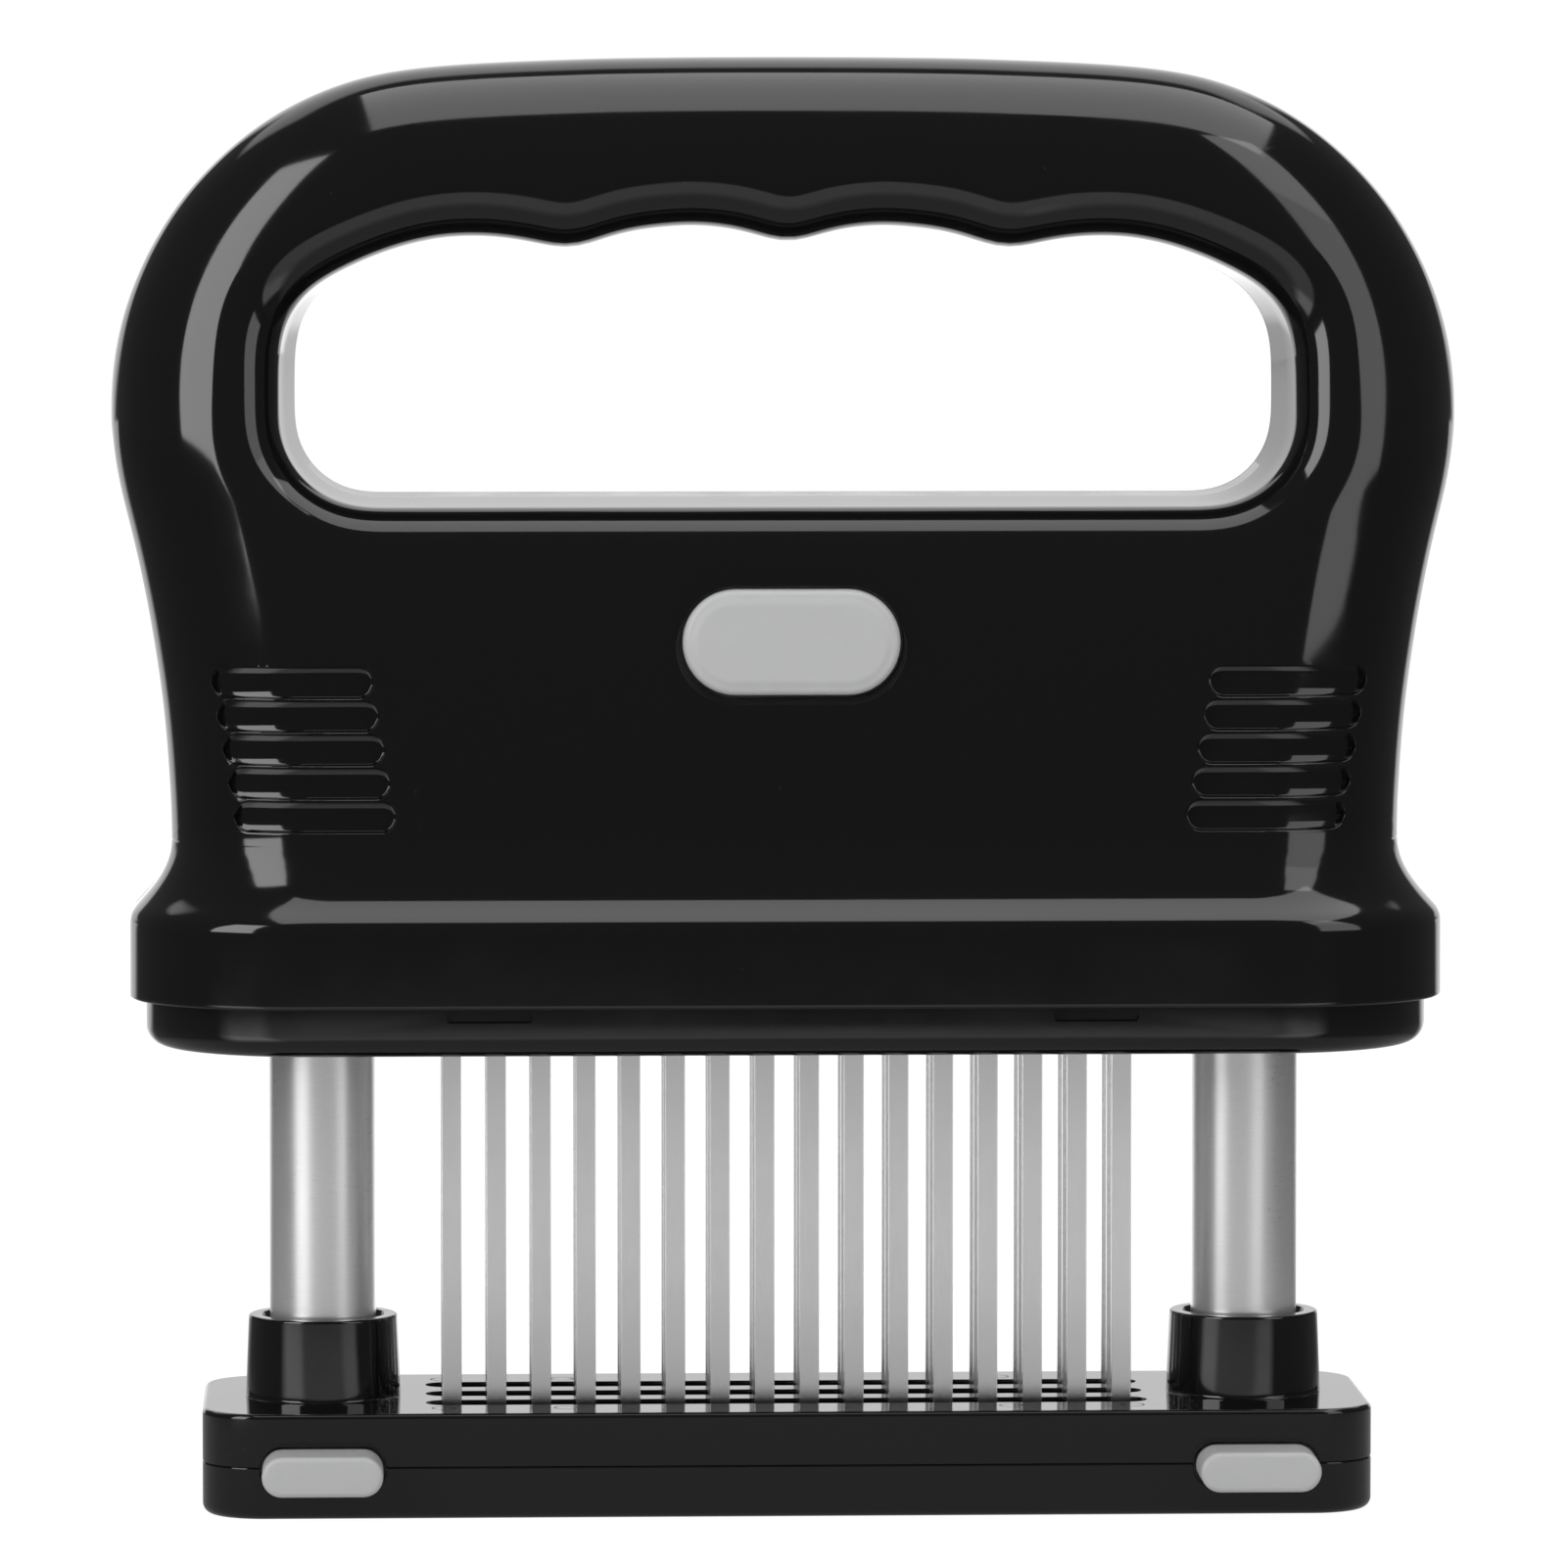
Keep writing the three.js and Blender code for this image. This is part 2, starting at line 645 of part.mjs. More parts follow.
function bottomCover() {
  const fillet = filletRings(coverFillet, coverRing, coverBottom, 1);
  const outer = lofted([...fillet, coverRing(0, coverBottom + coverFillet), coverRing(0, shellBottom)]);
  const radius = coverCornerRadius - coverWall;
  const inside = roundedOutline(coverHalfWidth - coverWall, coverHalfDepth - coverWall, radius);
  const posts = joined(fourCorners(coverScrewX, coverScrewY).map(
    ([, x, y]) => uprightCylinder(coverScrew.post, coverFloorTop - runningGap, shellBottom, x, y)));
  const holes = joined(fourCorners(coverScrewX, coverScrewY).map(
    ([, x, y]) => screwHoles(coverScrew, coverScrewSeat, x, y, coverBottom - cutOverrun)));
  const bushFit = bushOuterRadius + runningGap;
  const bushHole = (x) => uprightCylinder(bushFit, coverBottom - cutOverrun, shellBottom, x);
  const windowBottom = shellBottom - snapWindowHeight;
  const snapWindow = (x) => box(snapWindowWidth / 2, -coverHalfDepth - cutOverrun,
    -coverHalfDepth + coverWall + runningGap, windowBottom, shellBottom + cutOverrun, x);
  return solidOf(outer)
    .subtract(uprightPrism(inside, coverFloorTop, shellBottom + cutOverrun))
    .add(posts)
    .subtract(holes)
    .subtract(coverWindow())
    .subtract(bushHole(-rodX))
    .subtract(bushHole(rodX))
    .subtract(snapWindow(-snapWindowX))
    .subtract(snapWindow(snapWindowX));
}

function guideBush() {
  const inner = rodRadius + runningGap;
  const flangeTop = coverFloorTop + bushFlangeThickness;
  const flangeRadius = bushOuterRadius + bushFlange;
  return closedTurned([
    [inner, coverBottom], [bushOuterRadius, coverBottom], [bushOuterRadius, coverFloorTop],
    [flangeRadius, coverFloorTop], [flangeRadius, flangeTop],
    [bushOuterRadius, flangeTop], [bushOuterRadius, bushTop], [inner, bushTop],
  ]);
}

// Handle body: rings by height, drawn in by a wall for its inside
function between(shares, t) {
  const after = Math.max(1, shares.findIndex(([at]) => at >= t));
  const [from, low] = shares[after - 1];
  const [to, high] = shares[after];
  return low + (high - low) * (t - from) / (to - from);
}

function halfDepthAt(z) {
  const gripStart = widestHeight + gripStartShare * crownHeight;
  const t = Math.min(1, Math.max(0, (z - ogeeTop) / (gripStart - ogeeTop)));
  const depth = waistHalfDepth + (gripHalfDepth - waistHalfDepth) * between(depthShares, t);
  const crownStart = crownTop - crownRound;
  const rise = Math.max(0, z - crownStart);
  return depth - crownRound + Math.sqrt(Math.max(0, crownRound ** 2 - rise ** 2));
}

function cornerRadiusAt(z) {
  const t = Math.min(1, Math.max(0, (z - ogeeTop) / (widestHeight - ogeeTop)));
  const radius = waistCornerRadius + (gripCornerRadius - waistCornerRadius) * t;
  return Math.min(radius, halfDepthAt(z) - runningGap);
}

function bodyRing(halfWidth, halfDepth, radius, inset, z) {
  return ringAt(roundedOutline(halfWidth - inset, halfDepth - inset, radius - inset), z);
}

function bodyRings(inset) {
  const rings = [];
  const collar = (shrink, z) => rings.push(bodyRing(collarHalfWidth, collarHalfDepth, collarCornerRadius,
    inset + shrink, z));
  collar(inset > 0 ? 0 : collarFillet, inset > 0 ? shellBottom - cutOverrun : shellBottom);
  collar(0, shellBottom + collarFillet);
  collar(0, ogeeBottom);
  for (const [up, share] of ogeeShares) {
    const radius = collarCornerRadius + (waistCornerRadius - collarCornerRadius) * share;
    rings.push(bodyRing(collarHalfWidth - ogeeInset * share, collarHalfDepth - ogeeDepthInset * share, radius,
      inset, ogeeBottom + ogeeHeight * up));
  }
  for (const [up, share] of flareShares) {
    const z = ogeeTop + flareHeight * up;
    rings.push(bodyRing(waistHalfWidth + flareOut * share, halfDepthAt(z), cornerRadiusAt(z), inset, z));
  }
  for (const [up, share] of crownShares) {
    const z = widestHeight + crownHeight * up;
    const lowered = widestHeight + (crownHeight - inset) * up;
    rings.push(bodyRing(inset + (widestHalfWidth - inset) * share, halfDepthAt(z), cornerRadiusAt(z), inset,
      lowered));
  }
  return rings;
}

// Hand opening: its outline seen from the front, grown outwards
function gripUndersideAt(x) {
  const halfSpan = openingHalfWidth - openingShoulderWidth;
  const wave = gripSag * (2 * (x / openingHalfWidth) ** 2 - gripSagShare);
  const grooves = gripUnderside - wave - fingerDepth * Math.cos(2 * Math.PI * x / fingerPitch);
  const past = Math.max(0, Math.abs(x) - halfSpan);
  const share = Math.sqrt(Math.max(0, 1 - (past / openingShoulderWidth) ** 2));
  const shoulder = gripUnderside - gripSag - openingShoulderHeight * (1 - share);
  return Math.abs(x) > halfSpan ? Math.min(grooves, shoulder) : grooves;
}

function openingOutline(grow) {
  const side = openingHalfWidth + grow;
  const radius = openingCornerRadius;
  const points = [];
  for (let step = 0; step <= cornerSteps; step += 1) {
    const angle = (step / cornerSteps - 1) * Math.PI / 2;
    const z = openingFloor - grow + radius * (1 + Math.sin(angle));
    points.push([side - radius + radius * Math.cos(angle), z]);
  }
  const shoulderSteps = 2 * cornerSteps;
  for (let step = 0; step <= shoulderSteps; step += 1) {
    const x = openingHalfWidth - openingShoulderWidth * (1 - Math.cos(step / shoulderSteps * Math.PI / 2));
    points.push([x * side / openingHalfWidth, gripUndersideAt(x) + grow]);
  }
  const inner = openingHalfWidth - openingShoulderWidth;
  const grooveSteps = 4 * cornerSteps;
  for (let step = 1; step < grooveSteps / 2; step += 1) {
    const x = inner * (1 - 2 * step / grooveSteps);
    points.push([x * side / openingHalfWidth, gripUndersideAt(x) + grow]);
  }
  const right = points.map(([x, z]) => new THREE.Vector2(x, z));
  const middle = new THREE.Vector2(0, gripUndersideAt(0) + grow);
  const left = right.map((point) => new THREE.Vector2(-point.x, point.y)).reverse();
  return [...right, middle, ...left];
}

function openingRing(grow, depthOf) {
  return openingOutline(grow).map((point) => new THREE.Vector3(point.x, point.y, depthOf(point.y)));
}

function handOpening() {
  const far = collarHalfDepth + cutOverrun;
  const half = [openingRing(openingDraft + openingEdgeRound, () => far)];
  for (let step = 0; step <= filletSteps; step += 1) {
    const angle = step / filletSteps * Math.PI / 2;
    const grow = openingDraft + openingEdgeRound * (1 - Math.sin(angle));
    const back = openingEdgeRound * (1 - Math.cos(angle));
    half.push(openingRing(grow, (z) => halfDepthAt(Math.min(z, crownTop - crownRound)) - back));
  }
  const opposite = (point) => new THREE.Vector3(point.x, point.y, -point.z);
  const mirrored = half.map((ring) => ring.map(opposite)).reverse();
  const rings = [...half, openingRing(0, () => 0), ...mirrored].reverse();
  return solidOf(lofted(rings).rotateX(Math.PI / 2));
}

function openingLining() {
  const outline = openingOutline(openingDraft + shellWall);
  const far = collarHalfDepth + cutOverrun;
  return solidOf(lofted([ringAt(outline, -far), ringAt(outline, far)]).rotateX(Math.PI / 2));
}

// Screw bosses between the two handle shells
const legScrewX = (openingHalfWidth + widestHalfWidth) / 2;
const barScrewZ = (gripUnderside + crownTop) / 2;
const bodyScrewX = rodX - bodyScrewInsideRod;
const barScrewX = openingHalfWidth - barScrewFromSide;
const shellScrewPlaces = [
  ["body_left", -bodyScrewX, releaseZ], ["body_right", bodyScrewX, releaseZ],
  ["leg_left", -legScrewX, widestHeight], ["leg_right", legScrewX, widestHeight],
  ["bar_left", -barScrewX, barScrewZ], ["bar_right", barScrewX, barScrewZ],
];
const frontBossRadius = shellScrew.shank + screwGap + shellBossWall;

function handleShell(outer, half, holes) {
  const inner = solidOf(lofted(bodyRings(shellWall))).subtract(openingLining());
  return outer.subtract(inner).intersect(half).subtract(handOpening()).subtract(holes);
}

function coverScrewPosts(outer, side) {
  const y = side * coverScrewY;
  const post = (x) => uprightCylinder(coverScrew.post, shellBottom, ogeeTop, x, y);
  const posts = post(-coverScrewX).add(post(coverScrewX)).intersect(outer);
  const hole = (x) => screwHoles(coverScrew, coverScrewSeat, x, y, coverBottom);
  return { posts, holes: hole(-coverScrewX).add(hole(coverScrewX)) };
}

function handleFrontShell(outer) {
  const far = collarHalfDepth + cutOverrun;
  const half = box(2 * widestHalfWidth, -far, 0, 0, crownTop + cutOverrun);
  const bosses = joined(shellScrewPlaces.map(([, x, z]) => levelCylinder(frontBossRadius, -far, 0, x, z)));
  const shankDepth = shellScrew.length - shellSeatY + screwGap;
  const shanks = joined(shellScrewPlaces.map(
    ([, x, z]) => levelCylinder(shellScrew.shank + screwGap, -shankDepth, cutOverrun, x, z)));
  const { posts, holes } = coverScrewPosts(outer, -1);
  const releaseHole = levelPrism(stadiumOutline(releaseWidth, releaseHeight, runningGap), -far,
    releaseFlangeFront - runningGap, 0, releaseZ);
  const padHalfWidth = catchWidth / 2 + runningGap;
  const pad = box(padHalfWidth, -far, catchFront, ceiling - catchFootHeight, ceiling + shellWall)
    .intersect(outer);
  const shell = handleShell(outer, half, joined(vents()));
  return joined([shell, bosses.intersect(outer), posts, pad])
    .subtract(handOpening())
    .subtract(joined([shanks, holes, releaseHole, catchScrewHole()]));
}

function handleBackShell(outer) {
  const far = collarHalfDepth + cutOverrun;
  const half = box(2 * widestHalfWidth, 0, far, 0, crownTop + cutOverrun);
  const bosses = joined(shellScrewPlaces.map(([, x, z]) => levelCylinder(shellScrew.post, 0, far, x, z)));
  const shanks = joined(shellScrewPlaces.map(
    ([, x, z]) => levelCylinder(shellScrew.shank + screwGap, -cutOverrun, far, x, z)));
  const recesses = joined(shellScrewPlaces.map(
    ([, x, z]) => levelCylinder(shellScrew.head + screwGap, shellSeatY, far, x, z)));
  const { posts, holes } = coverScrewPosts(outer, 1);
  const shell = handleShell(outer, half, shanks);
  return joined([shell, bosses.intersect(outer), posts])
    .subtract(handOpening())
    .subtract(joined([shanks, recesses, holes]));
}

// Vents: blind slots that follow the curved front, lowest first
function vents() {
  const kept = solidOf(lofted(bodyRings(ventDepth)));
  const cuts = [];
  for (let k = 0; k < ventCount; k += 1) {
    const z = ogeeTop + ventFirstAboveOgee + ventPitch * k + ventHeight / 2;
    const x = ventTopX - ventLean * (ventCount - 1 - k);
    for (const side of [-1, 1]) {
      const outline = stadiumOutline(ventWidth, ventHeight);
      const reach = -waistHalfDepth + waistCornerRadius / 2;
      cuts.push(levelPrism(outline, -collarHalfDepth, reach, side * x, z).subtract(kept));
    }
  }
  return cuts;
}

// Release button in the front of the body, and the leaf spring behind it that holds the cartridge
const releaseFlangeTop = releaseZ + releaseHeight / 2 + releaseFlange;
const releaseFlangeFront = -halfDepthAt(releaseFlangeTop) + shellWall + runningGap;
const releaseBack = releaseFlangeFront + releaseFlangeThickness;
const catchFront = releaseBack + runningGap;
const catchBack = catchFront + catchThickness;

function releaseButton() {
  const front = -halfDepthAt(releaseZ) - releaseProud;
  const cap = cappedStadium(releaseWidth, releaseHeight, front, releaseBack, releaseChamfer);
  const flangeOutline = stadiumOutline(releaseWidth, releaseHeight, releaseFlange);
  const flange = levelPrism(flangeOutline, releaseFlangeFront, releaseBack);
  return cap.add(flange).translate([0, 0, releaseZ]);
}

function cartridgeCatch() {
  const postBack = -blockHalfDepth + catchPostThickness;
  const hookFront = postBack + runningGap;
  const hookBack = hookFront + catchThickness;
  const lipFront = hookFront - catchLip;
  const lipBottom = lipTop - catchThickness;
  const jogBottom = lipTop + catchJogAboveLip;
  const jogTop = jogBottom + catchJogHeight;
  const top = ceiling - runningGap;
  const outline = [
    [catchFront, top], [catchFront, jogTop], [hookFront, jogBottom], [hookFront, lipTop],
    [lipFront, lipTop], [lipFront, lipBottom],
    [hookBack, lipBottom], [hookBack, jogBottom], [catchBack, jogTop], [catchBack, top],
  ].map(([y, z]) => new THREE.Vector2(y, z));
  const geometry = extruded(outline, catchWidth);
  geometry.rotateX(Math.PI / 2).rotateZ(Math.PI / 2).translate(-catchWidth / 2, 0, 0);
  return solidOf(geometry).subtract(catchScrewHole());
}

const catchScrewZ = ceiling - catchFootHeight / 2;

function catchScrewHole() {
  const front = catchBack - catchScrew.length - screwGap;
  return levelCylinder(catchScrew.shank + screwGap, front, catchBack + runningGap, 0, catchScrewZ);
}

// Blade cartridge
const clampScrewX = blockHalfWidth - clampScrewFromBlockEnd;
const clampScrewY = rowPitch / 2;
const clampScrewSeat = coverBottom + clampScrew.sink + clampScrew.headThickness;

function clampScrewHoles() {
  const corners = fourCorners(clampScrewX, clampScrewY);
  const below = coverBottom - cutOverrun;
  return joined(corners.map(([, x, y]) => screwHoles(clampScrew, clampScrewSeat, x, y, below)));
}

function rowSlots(halfWidth, bottom, top) {
  const half = bladeThickness / 2 + runningGap;
  const slot = (y) => box(halfWidth, y - half, y + half, bottom, top);
  return joined(rowSides.map((row) => slot(row * rowPitch)));
}

function cartridgeBlock() {
  const block = box(blockHalfWidth, -blockHalfDepth, blockHalfDepth, clampTop, blockTop);
  const postBack = -blockHalfDepth + catchPostThickness;
  const postTop = blockTop + catchPostHeight;
  const post = box(catchPostWidth / 2, -blockHalfDepth, postBack, blockTop - runningGap, postTop);
  const windowBottom = blockTop + catchWindowFoot;
  const window = box(catchWidth / 2 + runningGap, -blockHalfDepth - cutOverrun, postBack + cutOverrun,
    windowBottom, lipTop + runningGap);
  return block
    .subtract(rowSlots(spineHalf + runningGap, clampTop - cutOverrun, spineTop + runningGap))
    .subtract(clampScrewHoles())
    .add(post)
    .subtract(window);
}

function cartridgeClamp() {
  return box(blockHalfWidth, -blockHalfDepth, blockHalfDepth, coverBottom, clampTop)
    .subtract(rowSlots(clampSlotHalf, coverBottom - cutOverrun, clampTop + cutOverrun))
    .subtract(clampScrewHoles());
}

function bladeRow() {
  const outline = [new THREE.Vector2(-spineHalf, spineTop), new THREE.Vector2(-spineHalf, clampTop)];
  for (let k = 0; k < bladesPerRow; k += 1) {
    const centre = (k - (bladesPerRow - 1) / 2) * bladePitch;
    const half = bladeWidth / 2;
    const shoulder = bladeTip + bladePointHeight;
    outline.push(
      new THREE.Vector2(centre - half, clampTop), new THREE.Vector2(centre - half, shoulder),
      new THREE.Vector2(centre - bladeTipFlat / 2, bladeTip),
      new THREE.Vector2(centre + bladeTipFlat / 2, bladeTip),
      new THREE.Vector2(centre + half, shoulder), new THREE.Vector2(centre + half, clampTop),
    );
  }
  outline.push(new THREE.Vector2(spineHalf, clampTop), new THREE.Vector2(spineHalf, spineTop));
  return levelPrism(outline, -bladeThickness / 2, bladeThickness / 2);
}

// The whole part
const part = new THREE.Group();
part.name = "meat_tenderizer";

function place(name, solid, material, x = 0, y = 0, z = 0) {
  const mesh = meshOf(name, solid, material);
  mesh.position.set(x, y, z);
  part.add(mesh);
}

function placeScrews(name, screw, places, seat) {
  places.forEach(([where, x, y]) => place(`${name}_${where}`, screwSolid(screw), springSteel(), x, y, seat));
}

const sides = [["left", -1], ["right", 1]];

place("base_lower_shell", baseLowerShell(), blackPlastic());
place("base_upper_shell", baseUpperShell(), blackPlastic());
placeScrews("base_screw", baseScrew, fourCorners(baseScrewX, baseScrewY), baseScrewSeat);
for (const [side, sign] of sides) {
  place(`base_button_${side}`, baseButton(), greyPlastic(), sign * rodX);
  place(`rod_clip_${side}`, rodClip(), springSteel(), sign * rodX);
  place(`rod_${side}`, rodTube(), brushedSteel(), sign * rodX);
  place(`rod_plug_${side}`, rodPlug(), innerPlastic(), sign * rodX);
  place(`rod_stop_ring_${side}`, stopRing(), springSteel(), sign * rodX);
  place(`main_spring_${side}`, mainSpring(), springSteel(), sign * rodX);
  place(`spring_guide_pin_${side}`, guidePin(), innerPlastic(), sign * rodX);
  place(`guide_bush_${side}`, guideBush(), whitePlastic(), sign * rodX);
}

const body = solidOf(lofted(bodyRings(0)));
place("handle_front_shell", handleFrontShell(body), blackPlastic());
place("handle_back_shell", handleBackShell(body), blackPlastic());
place("handle_bottom_cover", bottomCover(), blackPlastic());
placeScrews("cover_screw", coverScrew, fourCorners(coverScrewX, coverScrewY), coverScrewSeat);
for (const [where, x, z] of shellScrewPlaces) {
  const screw = screwSolid(shellScrew).rotate([90, 0, 0]);
  place(`shell_screw_${where}`, screw, springSteel(), x, shellSeatY, z);
}

place("release_button", releaseButton(), greyPlastic());
place("cartridge_catch", cartridgeCatch(), springSteel());
place("catch_screw", screwSolid(catchScrew).rotate([90, 0, 0]), springSteel(), 0, catchBack, catchScrewZ);
place("cartridge_block", cartridgeBlock(), innerPlastic());
place("cartridge_clamp", cartridgeClamp(), blackPlastic());
placeScrews("clamp_screw", clampScrew, fourCorners(clampScrewX, clampScrewY), clampScrewSeat);
rowSides.forEach((row, k) => place(`blade_row_${rowNames[k]}`, bladeRow(), bladeSteel(), 0, row * rowPitch));

export default part;
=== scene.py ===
"""A press-down meat tenderizer in glossy black plastic: the looks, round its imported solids.

Sizes are in millimetres until a piece is finished. +X is to the right, -Y to the front, +Z up.
"""

import json
import math

import bmesh
import bpy
import numpy as np
from mathutils import Matrix, Vector


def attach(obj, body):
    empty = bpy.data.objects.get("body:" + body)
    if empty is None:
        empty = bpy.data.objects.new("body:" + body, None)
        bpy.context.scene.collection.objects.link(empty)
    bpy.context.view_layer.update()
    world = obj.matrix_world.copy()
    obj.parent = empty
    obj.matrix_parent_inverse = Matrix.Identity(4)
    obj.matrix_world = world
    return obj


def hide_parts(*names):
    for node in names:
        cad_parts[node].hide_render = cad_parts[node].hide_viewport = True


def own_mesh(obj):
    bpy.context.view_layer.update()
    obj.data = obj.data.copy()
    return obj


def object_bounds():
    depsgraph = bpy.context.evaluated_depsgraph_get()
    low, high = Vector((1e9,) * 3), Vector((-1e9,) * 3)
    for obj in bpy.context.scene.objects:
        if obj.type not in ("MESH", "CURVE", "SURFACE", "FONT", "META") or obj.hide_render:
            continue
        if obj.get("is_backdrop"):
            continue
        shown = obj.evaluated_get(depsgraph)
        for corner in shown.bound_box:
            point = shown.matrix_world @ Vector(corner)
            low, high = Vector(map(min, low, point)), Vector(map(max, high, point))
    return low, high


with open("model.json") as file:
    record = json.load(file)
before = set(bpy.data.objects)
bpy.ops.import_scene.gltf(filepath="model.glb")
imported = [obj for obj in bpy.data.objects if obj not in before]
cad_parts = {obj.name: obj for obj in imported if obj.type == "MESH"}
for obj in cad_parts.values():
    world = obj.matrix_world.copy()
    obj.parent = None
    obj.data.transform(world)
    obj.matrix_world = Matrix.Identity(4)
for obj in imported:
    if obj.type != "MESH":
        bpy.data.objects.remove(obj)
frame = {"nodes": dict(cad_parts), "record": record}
cad_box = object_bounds()

MM = 0.001

# Places shared by several pieces
ROD_X = 52.225
PLATE_HALF = (65.725, 18.0, 7.0)
PLATE_SEAM = 5.85
PLATE_TOP = 11.85
SOCKET_TOP = 21.1
SLOT_HALF = 40.525
SLOT_WIDTH = 4.2
ROW_PITCH = 8.0
COVER_HALF = (71.925, 26.0, 19.0)
COVER_BOTTOM = 52.4
COVER_TOP = 57.75
COLLAR_HALF = (73.725, 27.0, 20.0)
COLLAR_FILLET = 0.35
WAIST = 75.5
BUTTON_Z = 5.65
KEY_FRONT = -24.8
RELEASE_Z = 98.15
OPENING_MIDDLE = 128.0
RELEASE_KEY = (24.2, 11.75)
RELEASE_FACE = -22.38
PLATE_KEY = (13.5, 4.5)
PLATE_KEY_GAP = 0.3
SCREW_X = 30.025
PLATE_SCREW_Y = 13.4
COVER_SCREW_Y = 20
WELL_HALF = (42.525, 12.1, 0.5)
WALL = 2.2
VENT_SIZE = (17.9, 3.3)
VENT_ROWS = 5
VENT_PITCH = 3.72
VENT_LEAN = 0.63
VENT_OUTER_X = 55.35
VENT_LOWEST_Z = 78.85
SNAP_X = 33.6
SPRING_ENDS = (20.9, 107.2)


# Camera

def aim_camera():
    data = bpy.data.cameras.new("camera")
    data.lens = 231.6
    data.sensor_width = 36
    data.clip_start = 0.05
    camera = bpy.data.objects.new("camera", data)
    camera.location = (-0.0463, -1.137, 0.1573)
    camera.rotation_euler = Vector((0.0406, 0.9969, -0.0669)).to_track_quat("-Z", "Y").to_euler()
    bpy.context.scene.collection.objects.link(camera)
    bpy.context.scene.camera = camera


# Finishes

class Wired:
    """An output of a finish's nodes. Sums written on it add Math nodes."""

    def __init__(self, finish, socket):
        self.finish, self.socket = finish, socket

    def sum(self, operation, first, second):
        return self.finish.node("ShaderNodeMath", {"operation": operation}, {0: first, 1: second})

    def __add__(self, other):
        return self.sum("ADD", self, other)

    def __radd__(self, other):
        return self.sum("ADD", other, self)

    def __sub__(self, other):
        return self.sum("SUBTRACT", self, other)

    def __rsub__(self, other):
        return self.sum("SUBTRACT", other, self)

    def __mul__(self, other):
        return self.sum("MULTIPLY", self, other)

    def __truediv__(self, other):
        return self.sum("DIVIDE", self, other)


class Finish:
    """A node tree under construction, of a material or of the world."""

    def __init__(self, tree):
        self.tree = tree
        tree.nodes.clear()

    def node(self, kind, settings=None, sockets=None, output=0):
        made = self.tree.nodes.new(kind)
        for name, value in (settings or {}).items():
            if name == "stops":
                ramp = made.color_ramp
                while len(ramp.elements) > 2:
                    ramp.elements.remove(ramp.elements[-1])
                for element, (at, shade) in zip(ramp.elements, value):
                    element.position, element.color = at, (shade, shade, shade, 1)
                for at, shade in value[2:]:
                    ramp.elements.new(at).color = (shade, shade, shade, 1)
            else:
                setattr(made, name, value)
        for name, value in (sockets or {}).items():
            if isinstance(value, Wired):
                self.tree.links.new(value.socket, made.inputs[name])
            else:
                made.inputs[name].default_value = value
        return Wired(self, made.outputs[output]) if made.outputs else made

    def place(self, scale=(1, 1, 1), turn=(0, 0, 0)):
        """Object coordinates in millimetres, stretched and turned."""
        plain = self.node("ShaderNodeTexCoord", output=3)
        stretch = tuple(size / MM for size in scale)
        return self.node("ShaderNodeMapping", {}, {"Vector": plain, "Scale": stretch, "Rotation": turn})

    def grain(self, scale, stretch=(1, 1, 1), detail=2.0, roughness=0.5, turn=(0, 0, 0)):
        """Noise with a number of waves in a millimetre."""
        return self.node("ShaderNodeTexNoise", {"noise_dimensions": "3D"}, {
            "Vector": self.place(stretch, turn), "Scale": scale, "Detail": detail, "Roughness": roughness})

    def ramp(self, value, stops):
        return self.node("ShaderNodeValToRGB", {"stops": stops}, {"Fac": value})

    def blend(self, mask, first, second):
        return self.node("ShaderNodeMix", {"data_type": "RGBA"}, {0: mask, 6: first, 7: second}, output=2)

    def axes(self, vector):
        split = self.tree.nodes.new("ShaderNodeSeparateXYZ")
        self.tree.links.new(vector.socket, split.inputs[0])
        return [Wired(self, output) for output in split.outputs]

    def rays(self):
        """Masks of the camera's rays, glossy rays and rays through clear things."""
        path = self.tree.nodes.new("ShaderNodeLightPath")
        kinds = ("Is Camera Ray", "Is Glossy Ray", "Is Transmission Ray")
        return [Wired(self, path.outputs[kind]) for kind in kinds]

    def bump(self, height, strength, distance_mm):
        return self.node("ShaderNodeBump", {}, {
            "Height": height, "Strength": strength, "Distance": distance_mm * MM})


def shade(value):
    return (value[0], value[1], value[2], 1.0)


def material(name, surface):
    """A material whose surface function gives the values and links of its main shader."""
    made = bpy.data.materials.new(name)
    made.use_nodes = True
    finish = Finish(made.node_tree)
    shader = finish.node("ShaderNodeBsdfPrincipled", {}, surface(finish))
    finish.node("ShaderNodeOutputMaterial", {}, {"Surface": shader})
    return made


def gloss_black(deep):
    def surface(finish):
        smudges = finish.grain(0.09, detail=5.0, roughness=0.6)
        fine = finish.grain(2.2, detail=3.0)
        peel = finish.grain(0.35, detail=1.0)
        specks = finish.ramp(finish.node("ShaderNodeTexVoronoi", {"feature": "F1"}, {
            "Vector": finish.place(), "Scale": 0.16, "Randomness": 1.0}), [(0.0, 1.0), (0.022, 0.0)])
        scratch = finish.ramp(finish.grain(0.22, stretch=(1, 1, 14), detail=2.0, turn=(0.2, 0.5, 0.3)),
                              [(0.72, 0.0), (0.76, 1.0)])
        rough = 0.05 + finish.ramp(smudges, [(0.35, 0.0), (0.75, 1.0)]) * 0.05 + fine * 0.02 + scratch * 0.05
        colour = finish.blend(specks * 0.5, shade(deep), shade([value + 0.05 for value in deep]))
        return {
            "Base Color": colour, "Roughness": rough, "IOR": 1.5,
            "Normal": finish.bump(peel + fine * 0.08, 0.12, 0.02)}
    return surface


